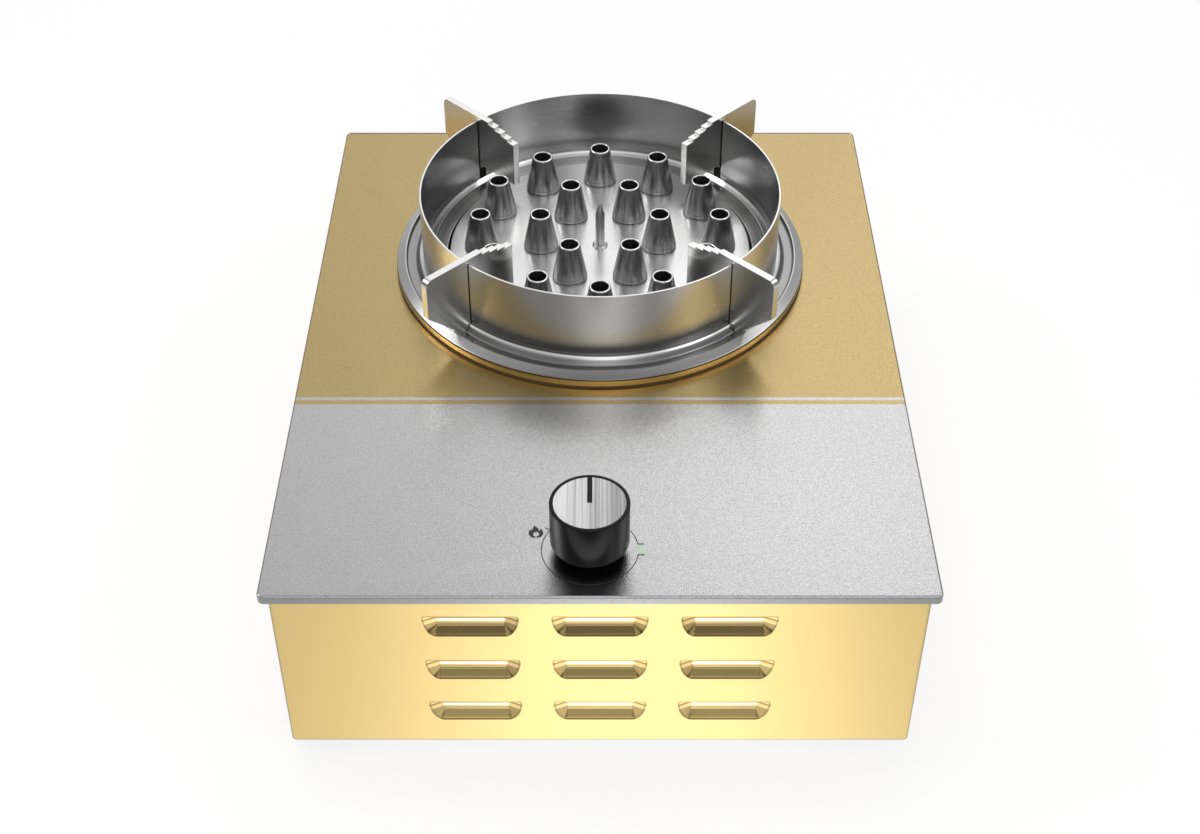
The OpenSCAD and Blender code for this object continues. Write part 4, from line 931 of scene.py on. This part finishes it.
# A flame's outline with its hollow, in units of its height, from the foot round
FLAME = (
    (-0.04, -0.5), (-0.28, -0.42), (-0.42, -0.2), (-0.42, 0.02), (-0.34, 0.2), (-0.27, 0.1), (-0.2, 0.26),
    (-0.13, 0.5), (0.04, 0.36), (0.14, 0.2), (0.17, 0.06), (0.22, 0.14), (0.27, 0.26), (0.38, 0.06),
    (0.42, -0.16), (0.3, -0.4), (0.04, -0.5), (0.03, -0.38), (0.17, -0.28), (0.15, -0.1), (0.05, 0.04),
    (0.0, -0.08), (-0.08, 0.0), (-0.17, -0.18), (-0.11, -0.34), (-0.03, -0.38),
)


def front_face(work, case):
    """The housing's front between its rounded corners, with its louvres pressed in."""
    reach, low = CASE_HALF.x - case.corner, CASE_LOW + case.fold
    corners = ((-reach, low), (reach, low), (reach, CASE_TOP), (-reach, CASE_TOP))
    edges = loop_edges(work, [work.verts.new((CASE.x + x, CASE_FRONT, z)) for x, z in corners])
    for column in range(case.columns):
        centre_x = CASE.x + (column - (case.columns - 1) / 2) * case.pitch_x
        for row in range(case.rows):
            top_z = RIM - case.drop - row * case.pitch_z
            edges += loop_edges(work, louvre(work, case, centre_x, top_z, CASE_FRONT))
    fill(work, edges)


def case_outline(case, steps=8):
    """(place, outward direction) round the housing's sides and front, from the left rear."""
    outline = [(Vector((CASE.x - CASE_HALF.x, CASE.y + CASE_HALF.y)), Vector((-1, 0)))]
    for side in (-1, 1):
        centre = Vector((CASE.x + side * (CASE_HALF.x - case.corner), CASE_FRONT + case.corner))
        for step in range(steps + 1):
            out = ray(-90 + 90 * (step / steps - (side < 0)))
            outline.append((centre + out * case.corner, out))
    return outline + [(Vector((CASE.x + CASE_HALF.x, CASE.y + CASE_HALF.y)), Vector((1, 0)))]


def case_levels(case, steps=5):
    """(height, inset) levels of the housing's skin, from its top down and round its lower fold."""
    levels = [(CASE_TOP, 0)]
    for step in range(steps + 1):
        turn = ray(90 * step / steps)
        levels.append((CASE_LOW + case.fold * (1 - turn.y), case.fold * (1 - turn.x)))
    return levels + [(CASE_LOW, case.flange)]


def case_mesh(case):
    """The housing's skin: its front with the louvres, its rounded corners, its sides and its lower flange."""
    work = bmesh.new()
    front_face(work, case)
    outline = case_outline(case)
    rows = [
        [work.verts.new((*(place - out * inset), z)) for place, out in outline]
        for z, inset in case_levels(case)
    ]
    front = len(outline) // 2 - 1
    for row, (upper, lower) in enumerate(zip(rows, rows[1:])):
        for index in range(len(outline) - 1):
            if row > 0 or index != front:
                work.faces.new((lower[index], lower[index + 1], upper[index + 1], upper[index]))
    bmesh.ops.remove_doubles(work, verts=work.verts, dist=WELD)
    bmesh.ops.recalc_face_normals(work, faces=work.faces)
    return work


class WR_OT_case(bpy.types.Operator):
    """Build the housing shell with its pressed louvres"""

    bl_idname = "wok_range.case"
    bl_label = "Housing"

    def execute(self, context):
        """Makes the housing's skin and gives it its sheet's thickness."""
        setup = context.scene.wok_range
        case = setup.case
        gold = case_finish(case, tuple(setup.colours.case))
        shell = keep(case_mesh(case), "housing_skin", gold, "range")
        face_towards(shell, (0, -1, 0))
        solidify(shell, case.sheet)
        settle(shell)
        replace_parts(shell, "housing_shell")
        return {"FINISHED"}


def case_finish(case, colour):
    """The housing's satin gold sheet, with painted shade and a painted highlight in bands in the pressings of
    its louvres, and painted shade along its lower fold and its front corners.
    """
    finish = Finish("gold_sheet", colour, 0.15, metallic=1.0)
    place, x, y, z = finish.place()
    fine = finish.noise(place, 1400.0, 2.0, 0.6)
    depth, across = y - CASE_FRONT, x - CASE.x
    reach = across.magnitude()
    field = reach.below(case.pitch_x * case.columns / 2)
    # Height below a louvre's open edge, and distance sideways from its middle
    down = (RIM - case.drop - z).wrap(case.pitch_z)
    aside = (across + case.pitch_x * (case.columns % 2) / 2).wrap(case.pitch_x)
    aside = (aside - case.pitch_x / 2).magnitude()
    # Painted shade in the louvres: a band under the open edge, the ramp, the outline and the ends, and a line
    # above each louvre.
    pressed = depth.ramp(0.02 * MM, 0.2 * MM) * depth.below(case.louvre_depth + 0.6 * MM) * field
    shadow = down.bell(3.7 * MM, 0.6 * MM) * 0.95
    slope = down.ramp(7.1 * MM, 7.5 * MM) * (0.6 - down.bell(15.6 * MM, 0.5 * MM) * 0.55)
    outline = (1 - depth.ramp(0.4 * MM, 0.7 * MM)) * 0.5
    ends = aside.above(case.louvre_base / 2) * 0.25
    brow = down.ramp(case.pitch_z - 1.1 * MM, case.pitch_z - 0.7 * MM) * depth.below(0.1 * MM) * field
    brow = brow * aside.below(case.louvre_width / 2 - MM) * 0.55
    # Painted shade along the lower fold and the front corners.
    lower = 1 - z.ramp(CASE_LOW + case.fold * 0.9, CASE_LOW + case.fold * 1.2)
    corner = reach.ramp(CASE_HALF.x - 1.6 * MM, CASE_HALF.x - MM)
    corner = corner * (1 - depth.ramp(case.corner * 0.8, case.corner))
    shade = (pressed * (shadow + slope + outline + ends) + (lower + corner) * 0.75 + brow).clamp()
    # Painted highlight: a bright band across each louvre's upper part.
    painted_gleam = pressed * down.ramp(4.6 * MM, 5 * MM) * (1 - down.ramp(6.4 * MM, 6.8 * MM))
    painted_gleam = painted_gleam * aside.below(case.louvre_base / 2 + 0.6 * MM)
    tone = finish.mix((fine * 0.5).clamp(), colour, dim(colour, 0.94))
    tone = finish.mix(painted_gleam, tone, (1.0, 0.98, 0.86))
    finish.put("Base Color", finish.mix(shade, tone, dim(colour, 0.3)))
    finish.put("Roughness", (fine - 0.5) * 0.04 + 0.15)
    finish.bump(fine, 0.000004)
    return finish.material


class WR_OT_tray(bpy.types.Operator):
    """Build the drip tray"""

    bl_idname = "wok_range.tray"
    bl_label = "Tray"

    def execute(self, context):
        """Makes the tray as a spun sheet."""
        setup = context.scene.wok_range
        tray, ring = setup.tray, setup.ring
        work = bmesh.new()
        spin(work, tray_profile(tray, ring), BURNER, 128)
        steel = tray_finish(tray, ring, tuple(setup.colours.tray))
        pan = keep(work, "drip_tray_skin", steel, "tray")
        face_towards(pan, (0, 0, 1))
        solidify(pan, tray.sheet)
        settle(pan)
        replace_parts(pan, "drip_tray")
        return {"FINISHED"}


def tray_finish(tray, ring, colour):
    """The tray's turned steel: scribed rings, painted shade in the rim's groove, in the trough and on the
    rim, most at the front, painted highlights on the bead's edges, and an outer wall painted with the gold
    plate's reflection and a painted shade line under its edge.
    """
    finish = Finish("tray_steel", colour, 0.22, metallic=1.0)
    reach, _, along, z = finish.around(BURNER)
    turned = finish.noise(finish.joined(reach), 1100.0)
    brushed = finish.noise(finish.place()[0], 90.0)
    # Painted shade: the trough and the rim are darker, most at the front.
    front = (along * (-1 / tray.radius)).ramp(0.8, 1.0)
    bead = ring.radius + 1.9 * MM
    trough = reach.ramp(bead + 0.6 * MM, bead + 1.2 * MM)
    trough = trough * (1 - reach.ramp(tray.radius - 7.8 * MM, tray.radius - 7.2 * MM))
    rim = reach.ramp(tray.radius - 6.8 * MM, tray.radius - 6 * MM)
    # Painted shade in the groove at the rim's inner wall; the other three are scribed lines.
    scribed = reach.bell(tray.radius - 7.1 * MM, 0.3 * MM)
    for inset, width in ((26.6, 0.25), (29.6, 0.18), (31.6, 0.2)):
        scribed = scribed + reach.bell(tray.radius - inset * MM, width * MM)
    # Painted highlights on the bead's outer and inner edges.
    edges = reach.bell(bead, 0.7 * MM) + reach.bell(ring.radius - 4.3 * MM, 0.7 * MM)
    tone = finish.mix(turned, dim(colour, 0.86), colour)
    tone = finish.mix(trough * (front * 0.4 + 0.55), tone, dim(colour, 0.25))
    tone = finish.mix(rim * (front * 0.9 + 0.04), tone, dim(colour, 0.3))
    tone = finish.mix(scribed.clamp() * 0.75, tone, (0.04, 0.04, 0.04))
    tone = finish.mix(edges.clamp(), tone, (0.98, 0.98, 0.98))
    # The outer wall: a painted reflection of the gold plate, with a painted shade line under its edge.
    lip = (z - BURNER.z).bell(tray.edge - 0.6 * MM, 0.6 * MM)
    side = finish.mix(lip, (0.7, 0.55, 0.3), (0.03, 0.02, 0.015))
    outer = reach.ramp(tray.radius - 0.3 * MM, tray.radius - 0.1 * MM)
    finish.put("Base Color", finish.mix(outer, tone, side))
    finish.put("Roughness", (turned - 0.5) * 0.1 + (brushed - 0.5) * 0.06 + 0.22)
    finish.bump(turned, 0.000012)
    return finish.material


def nozzle_finish(colour, lip, foot):
    """Turned steel of the nozzles, with a painted highlight round the mouth and scribed near the foot."""
    finish = Finish("nozzle_steel", colour, 0.26, metallic=1.0)
    place, _, _, z = finish.place()
    streak = finish.noise(finish.stretched(place, (420.0, 420.0, 3.0)))
    tone = finish.mix(streak.ramp(0.35, 0.65), dim(colour, 0.8), dim(colour, 1.1))
    tone = finish.mix(z.bell(foot + 3.5 * MM, 0.18 * MM) * 0.6, tone, (0.08, 0.08, 0.08))
    # Painted highlight round the top of the mouth.
    finish.put("Base Color", finish.mix(z.ramp(lip - 0.3 * MM, lip), tone, (0.95, 0.95, 0.95)))
    return finish.material


class WR_OT_burner(bpy.types.Operator):
    """Build the burner's disc, its nozzles and its pin"""

    bl_idname = "wok_range.burner"
    bl_label = "Burner"

    def execute(self, context):
        """Makes the spun pieces of the burner head."""
        setup = context.scene.wok_range
        burner, colours = setup.burner, setup.colours
        face = BURNER.z + burner.rise
        steel = nozzle_finish(tuple(colours.nozzle), face + burner.nozzle_height - 0.7 * MM, face)
        self.disc(burner, tuple(colours.disc))
        self.nozzles("outer_cones", "outer_nozzles", burner.outer_count, burner.outer_ring, burner, steel)
        self.nozzles("inner_cones", "inner_nozzles", burner.inner_count, burner.inner_ring, burner, steel)
        self.pin(burner, tuple(colours.pin))
        return {"FINISHED"}

    def disc(self, burner, colour):
        """The disc with its turned-down edge."""
        hole, radius, rise = burner.pin_hole, burner.radius, burner.rise
        under, inner, low = rise - burner.sheet, radius - burner.sheet, rise - burner.skirt
        corners = [(hole, under), (hole, rise), (radius, rise), (radius, low), (inner, low), (inner, under)]
        work = bmesh.new()
        spin(work, closed_fillet(corners, in_mm(0, 0, 1, 0.3, 0.3, 1)), BURNER, 128, closed=True)
        steel = turned_metal("disc_steel", colour, 0.24, pitch=0.9 * MM, contrast=0.1)
        disc = keep(work, "burner_disc", steel, "range")
        settle(disc)
        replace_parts(disc, "burner_cap")

    def nozzles(self, name, node, count, radius, burner, steel):
        """A circle of cone nozzles."""
        work = bmesh.new()
        for index in range(count):
            place = Vector((*(ray(360 * index / count) * radius), burner.rise))
            spin(work, nozzle_profile(burner), BURNER + place, 40, closed=True)
        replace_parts(keep(work, name, steel, "range"), node)

    def pin(self, burner, colour):
        """The ignition pin with its point."""
        radius, low, top = burner.pin_radius, burner.rise - 2 * MM, burner.rise + burner.pin_height
        shoulder, tip = top - burner.pin_tip, 0.7 * MM
        profile = [
            (0, low), (radius, low), (radius, shoulder - 0.6 * MM), (radius - 0.2 * MM, shoulder),
            (tip, top - 0.3 * MM), (tip * 0.6, top), (0, top),
        ]
        work = bmesh.new()
        spin(work, profile, BURNER, 40)
        steel = turned_metal("pin_steel", colour, 0.3, pitch=0.4 * MM, contrast=0.2)
        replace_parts(keep(work, "spark_pin", steel, "range"), "ignition_pin")


class WR_OT_ring(bpy.types.Operator):
    """Build the wok ring and its stepped arms"""

    bl_idname = "wok_range.ring"
    bl_label = "Wok ring"

    def execute(self, context):
        """Makes the ring's wall and the four arms."""
        setup = context.scene.wok_range
        ring, tray, colours = setup.ring, setup.tray, setup.colours
        self.wall(ring, tray, colours)
        steel = arm_finish(tuple(colours.arm), ring.radius)
        for name, turn in ARMS.items():
            self.arm(name, turn, ring, tray, steel)
        return {"FINISHED"}

    def wall(self, ring, tray, colours):
        """The ring's thin round wall, open at its slots."""
        work = bmesh.new()
        ring_wall(work, ring, tray.bead, [math.radians(turn) for turn in ARMS.values()])
        wall = keep(work, "wok_ring_wall", wall_finish(ring, tray, colours), "wok_support")
        face = wall.data.polygons[0]
        if (face.center - BURNER).xy.dot(face.normal.xy) < 0:
            wall.data.flip_normals()
        solidify(wall, ring.wall)
        soften(wall, 0.35 * MM)
        settle(wall)
        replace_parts(wall, "wok_ring")

    def arm(self, name, turn, ring, tray, steel):
        """One stepped arm, with the foot that stands in the trough."""
        out = ray(turn)
        side = Vector((-out.y, out.x, 0)) * ring.arm_thickness / 2
        outline = [BURNER + Vector((*(out * reach), height)) for reach, height in arm_outline(ring, tray)]
        work = bmesh.new()
        prism(work, [[point + side * way for point in outline] for way in (-1, 1)])
        arm = keep(work, "arm_" + name, steel, "wok_support")
        soften(arm, 0.3 * MM, angle=25)
        settle(arm)
        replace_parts(arm, "wok_arm_" + name)


def rolled_steel(name, colour):
    """A finish of rolled steel, its grained tone, and how far its faces look up, which sets where a highlight
    is painted.
    """
    finish = Finish(name, colour, 0.24, metallic=1.0)
    drawn = finish.noise(finish.stretched(finish.place()[0], (60.0, 60.0, 2400.0)))
    normal = finish.sock(finish.node("ShaderNodeNewGeometry"), "Normal")
    finish.put("Roughness", (drawn - 0.5) * 0.14 + 0.24)
    finish.bump(drawn, 0.000015)
    return finish, finish.mix(drawn, dim(colour, 0.86), colour), finish.parts(normal)[2].ramp(0.6, 0.9)


def arm_finish(colour, ring_radius):
    """The arms' steel: a painted reflection of the gold plate on the rear pair where they stand out of the
    ring, and a painted highlight on their upward faces.
    """
    finish, tone, upward_highlight = rolled_steel("arm_steel", colour)
    reach, _, along, _ = finish.around(BURNER)
    # Painted reflection: the rear arms are tinted gold where they stand over the gold plate.
    gold_reflection = reach.ramp(ring_radius - MM, ring_radius + MM) * along.above(0)
    tone = finish.mix(gold_reflection * 0.75, tone, (0.34, 0.28, 0.17))
    finish.put("Base Color", finish.mix(upward_highlight, tone, PAINTED_TOP_HIGHLIGHT))
    return finish.material


def wall_finish(ring, tray, colours):
    """The ring's steel, with painted shade inside, towards its foot and in its slots, and a painted highlight
    on its upward faces.
    """
    finish, tone, upward_highlight = rolled_steel("ring_steel", tuple(colours.ring))
    reach, across, along, z = finish.around(BURNER)
    # Painted shade: the inside is a darker copy of the steel, lighter at its front and back than at its
    # sides.
    inside = 1 - reach.ramp(ring.radius - 1.2 * MM, ring.radius - 0.6 * MM)
    sideways = (across.magnitude() * (1 / ring.radius)).ramp(0.35, 0.95)
    inner = finish.mix(sideways, dim(colours.ring_inside_shade, 1.35), dim(colours.ring_inside_shade, 0.75))
    # Painted shade towards the foot of the outside.
    foot = 1 - (z - BURNER.z).ramp(tray.bead, tray.bead + 11 * MM)
    # Painted shade in the slots, where the arms pass through the wall.
    aside = (across.magnitude() - along.magnitude()).magnitude() * math.sqrt(0.5)
    slot = 1 - aside.ramp(ring.arm_thickness / 2 + 0.6 * MM, ring.arm_thickness / 2 + 0.9 * MM)
    tone = finish.mix(inside, tone, inner)
    tone = finish.mix((1 - inside) * foot * 0.75, tone, (0.1, 0.1, 0.1))
    tone = finish.mix(upward_highlight, tone, PAINTED_TOP_HIGHLIGHT)
    finish.put("Base Color", finish.mix(slot, tone, (0.01, 0.008, 0.006)))
    return finish.material


class WR_OT_knob(bpy.types.Operator):
    """Build the knob: its skirt, its brushed cap and its pointer"""

    bl_idname = "wok_range.knob"
    bl_label = "Knob"

    def execute(self, context):
        """Makes the knob's three pieces."""
        setup = context.scene.wok_range
        knob, colours = setup.knob, setup.colours
        gloss = knob_gloss(tuple(colours.black))
        self.skirt(knob, gloss)
        self.cap(knob, tuple(colours.cap))
        self.pointer(knob, gloss)
        return {"FINISHED"}

    def skirt(self, knob, gloss):
        """The black body: a hollow skirt under a sunk top."""
        radius, top, gap = knob.radius, knob.top, knob.gap
        cap, foot, inner = radius - knob.rim, radius - knob.taper, radius - knob.wall
        seat, waist, under = top - knob.cap, gap + knob.taper_height, top - knob.deck
        corners = [
            (0, seat), (cap, seat), (cap, top), (radius, top), (radius, waist), (foot, gap),
            (foot - knob.wall, gap), (inner, waist), (inner, under), (0, under),
        ]
        work = bmesh.new()
        spin(work, fillet(corners, in_mm(0, 0.1, 0.3, 0.6, 2.4, 0.4, 0.3, 1, 1, 0)), KNOB, 128)
        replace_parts(keep(work, "knob_skirt", gloss, "knob"), "knob_body")

    def cap(self, knob, colour, steps=120):
        """The cap: a flat disc with a notch for the pointer."""
        half_width, edge = (knob.pointer + PLAY) / 2, knob.radius - knob.rim - PLAY / 2
        start = 90 - math.degrees(math.asin(half_width / edge))
        turns = [start - (2 * start + 180) * step / steps for step in range(steps + 1)]
        points = [(half_width, -PLAY / 2), *(ray(turn) * edge for turn in turns), (-half_width, -PLAY / 2)]
        work = self.slab(points, knob.top - knob.cap + PLAY / 2, knob.top - PLAY)
        cap = keep(work, "knob_disc", brushed_cap(colour), "knob")
        soften(cap, 0.12 * MM, angle=60)
        settle(cap)
        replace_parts(cap, "knob_cap")

    def pointer(self, knob, gloss):
        """The pointer: a bar from the knob's middle to its rear rim."""
        half_width, near, rear = (knob.pointer - PLAY) / 2, PLAY / 2, knob.radius - knob.rim - 2 * PLAY
        points = [(-half_width, near), (half_width, near), (half_width, rear), (-half_width, rear)]
        work = self.slab(points, knob.top - 0.6 * MM, knob.top + PLAY)
        bar = keep(work, "knob_mark", gloss, "knob")
        soften(bar, 0.2 * MM, 3, angle=60)
        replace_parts(bar, "knob_pointer")

    def slab(self, points, low, high):
        """A flat solid between two heights on the knob."""
        work = bmesh.new()
        prism(work, [[KNOB + Vector((x, y, level)) for x, y in points] for level in (low, high)])
        return work


def knob_gloss(colour):
    """The satin black of the knob."""
    finish = Finish("knob_black", colour, 0.17)
    fine = finish.noise(finish.place()[0], 260.0)
    finish.put("Roughness", (fine - 0.5) * 0.05 + 0.17)
    finish.put("Base Color", finish.mix(fine, dim(colour, 0.6), dim(colour, 0.9)))
    finish.put("Specular IOR Level", 0.2)
    return finish.material


def hardware_finishes(colours):
    """A finish for each material slot whose pieces keep the frame's own mesh."""
    zinc = tuple(colours.zinc)
    return {
        "gold_sheet": sheet_steel("rear_gold_sheet", tuple(colours.case), 0.28, grain=1400.0, relief=0.00001),
        "base_sheet": sheet_steel("base_sheet", zinc, 0.42, grain=300.0, relief=0.00003, spread=0.16),
        "rubber": moulded("rubber", tuple(colours.rubber), 0.7, grain=500.0, relief=0.00008),
        "screw_steel": cast_metal("screw_steel", (0.6, 0.6, 0.58), 0.3, grain=900.0, relief=0.00002),
        "pan_steel": sheet_steel("pan_steel", (0.5, 0.49, 0.46), 0.4, grain=260.0, spread=0.14),
        "pin_steel": cast_metal("collar_steel", (0.62, 0.62, 0.62), 0.25, grain=900.0, relief=0.00002),
        "ceramic": moulded("ceramic", (0.78, 0.76, 0.7), 0.5, grain=300.0, relief=0.00004),
        "cast_tube": cast_metal("cast_tube", (0.5, 0.5, 0.49), 0.5),
        "brass": cast_metal("brass", tuple(colours.brass), 0.32, grain=600.0, relief=0.00004),
        "gasket": moulded("gasket", (0.09, 0.05, 0.025), 0.75, grain=600.0, relief=0.00008),
        "dark_plastic": moulded("dark_plastic", (0.02, 0.02, 0.021), 0.45),
        "red_plastic": moulded("red_plastic", (0.42, 0.02, 0.015), 0.4),
        "cell_wrap": moulded("cell_wrap", (0.03, 0.12, 0.32), 0.3, coat=0.4),
        "lead_red": moulded("lead_red", (0.5, 0.02, 0.02), 0.45),
        "lead_white": moulded("lead_white", (0.75, 0.75, 0.72), 0.45),
        "lead_black": moulded("lead_black", (0.018, 0.018, 0.018), 0.45),
        "nozzle_steel": cast_metal("hidden_steel", (0.3, 0.3, 0.3), 0.4),
        "knob_silver": cast_metal("washer_steel", (0.55, 0.55, 0.54), 0.35),
    }


class WR_OT_hardware(bpy.types.Operator):
    """Give every remaining piece of the frame its finish"""

    bl_idname = "wok_range.hardware"
    bl_label = "Hardware"

    def execute(self, context):
        """Paints the nodes that keep their own mesh."""
        finishes = hardware_finishes(context.scene.wok_range.colours)
        for part in frame["record"]["subparts"]:
            node = frame["nodes"][part["node"]]
            if node.hide_render:
                continue
            node.data.materials.clear()
            node.data.materials.append(finishes.get(part["material_slot"], finishes["base_sheet"]))
        return {"FINISHED"}


# Studio


def placed(name, data, place=(0, 0, 0)):
    """An object that isn't part of the range, at a place."""
    made = bpy.data.objects.new(name, data)
    bpy.context.collection.objects.link(made)
    made.location = place
    return made


def studio_world(scene):
    """White to the camera, and a soft uneven sky for the light."""
    scene.world = bpy.data.worlds.new("studio")
    scene.world.use_nodes = True
    scene.world.node_tree.nodes.clear()
    sky = Tree(scene.world.node_tree)
    x, y, z = sky.parts(sky.sock(sky.node("ShaderNodeTexCoord"), "Generated"))
    rear = y.ramp(0.0, 0.3)
    rear_level = x * 0.5 + 0.6 + x.bell(0.14, 0.11) * z.bell(0.69, 0.06) * 0.75
    rear_level = rear_level * (1 - x.ramp(0.22, 0.42) * 0.65) - (z - 0.66).clamp() * 0.9
    rear_level = rear_level * rear_level.above(0) * (1 - z.ramp(0.82, 0.95))
    front_level = z.ramp(0.05, 0.4) * 0.2 + 0.06 + x.bell(0.06, 0.22) * z.bell(0.55, 0.25) * 0.8
    level = rear * rear_level + (1 - rear) * front_level + z.ramp(0.8, 0.95) * 0.12
    for (x_at, x_width), (y_at, y_width), strength in SKY_STRIPS:
        level = level + x.bell(x_at, x_width) * y.bell(y_at, y_width) * z.bell(0.64, 0.1) * strength
    seen = sky.glow("ShaderNodeBackground", SKY_STRENGTH, level)
    white = sky.glow("ShaderNodeBackground", 1.0, 1.0)
    sky.node("ShaderNodeOutputWorld", Surface=sky.blend(sky.seen_by("Is Camera Ray"), seen, white))


def lamp(name, place, aim, size, power):
    """A soft rectangular lamp that points at a place."""
    light = bpy.data.lights.new(name, "AREA")
    light.shape = "RECTANGLE"
    light.size, light.size_y = size
    light.energy = power
    made = placed(name, light, place)
    made.rotation_euler = (Vector(aim) - Vector(place)).to_track_quat("-Z", "Y").to_euler()
    made.visible_glossy = False


def camera(scene):
    """The camera that sees the range as the photograph does."""
    data = bpy.data.cameras.new("camera")
    data.lens, data.sensor_width = CAMERA_LENS, 36.0
    scene.camera = placed("camera", data, (PLATE.x, PLATE.y - CAMERA_BACK, PLATE_TOP + CAMERA_UP))
    scene.camera.rotation_euler = (math.radians(CAMERA_TILT), 0, 0)


def ground(size=6):
    """The floor's mesh."""
    mesh = bpy.data.meshes.new("floor")
    work = bmesh.new()
    bmesh.ops.create_grid(work, x_segments=4, y_segments=4, size=size)
    work.to_mesh(mesh)
    work.free()
    mesh.materials.append(floor_finish())
    return mesh


def floor_finish():
    """A plain white floor that keeps the object's shadow; polished metal sees a glow on it."""
    finish = Finish("floor", (0.9, 0.9, 0.9), 0.5)
    finish.put("Specular IOR Level", 0.0)
    _, x, y, _ = finish.place()
    front = y - (PLATE.y - PLATE_HALF.y)
    near = front.ramp(-0.2, -0.17) * (x.bell(0.02, 0.15) * 0.6 + 0.4)
    far = (1 - front.ramp(-0.3, -0.26)) * 0.5
    white = finish.glow("ShaderNodeEmission", 1.0, 1.0)
    glow = finish.glow("ShaderNodeEmission", FLOOR_STRENGTH, near + far + 0.05)
    plain = finish.blend(finish.seen_by("Is Camera Ray") * 0.8, finish.sock(finish.shader), white)
    shown = finish.blend(finish.seen_by("Is Glossy Ray"), plain, glow)
    feed(finish.tree, finish.tree.nodes["Material Output"].inputs["Surface"], shown)
    return finish.material


class WR_OT_studio(bpy.types.Operator):
    """Set the floor, the lamps, the world and the camera"""

    bl_idname = "wok_range.studio"
    bl_label = "Studio"

    def execute(self, context):
        """Makes everything that isn't part of the object."""
        context.scene.view_settings.view_transform = "Standard"
        studio_world(context.scene)
        camera(context.scene)
        placed("floor", ground())
        lamp("key", (-0.2, 0.3, 1.9), (0, 0, 0.1), (1.5, 1.5), 16)
        lamp("front", (0.0, -1.9, 0.75), (0, -0.2, 0.08), (1.3, 0.8), 12)
        return {"FINISHED"}


OPERATORS = (
    WR_OT_plate, WR_OT_case, WR_OT_tray, WR_OT_burner, WR_OT_ring, WR_OT_knob, WR_OT_hardware, WR_OT_studio,
)


class WR_PT_panel(bpy.types.Panel):
    """The sidebar's panel: one button for each step, and the sizes and colours"""

    bl_idname = "WR_PT_panel"
    bl_label = "Wok range"
    bl_space_type = "VIEW_3D"
    bl_region_type = "UI"
    bl_category = "Wok range"

    def draw(self, context):
        """Lays out the buttons and the properties."""
        layout = self.layout
        for item in OPERATORS:
            layout.operator(item.bl_idname)
        setup = context.scene.wok_range
        for name, group in GROUPS.items():
            box = layout.box()
            box.label(text=name.title())
            for item in group.__annotations__:
                box.prop(getattr(setup, name), item)


CLASSES = (*GROUPS.values(), WokRange, *OPERATORS, WR_PT_panel)


def register():
    """Registers the classes and hangs the properties on the scene."""
    for item in CLASSES:
        bpy.utils.register_class(item)
    bpy.types.Scene.wok_range = PointerProperty(type=WokRange)


def unregister():
    """Takes back what register() did."""
    del bpy.types.Scene.wok_range
    for item in reversed(CLASSES):
        bpy.utils.unregister_class(item)


def main():
    """Builds the whole range."""
    register()
    for item in OPERATORS:
        getattr(bpy.ops.wok_range, item.bl_idname.split(".")[1])()


if __name__ == "__main__":
    main()
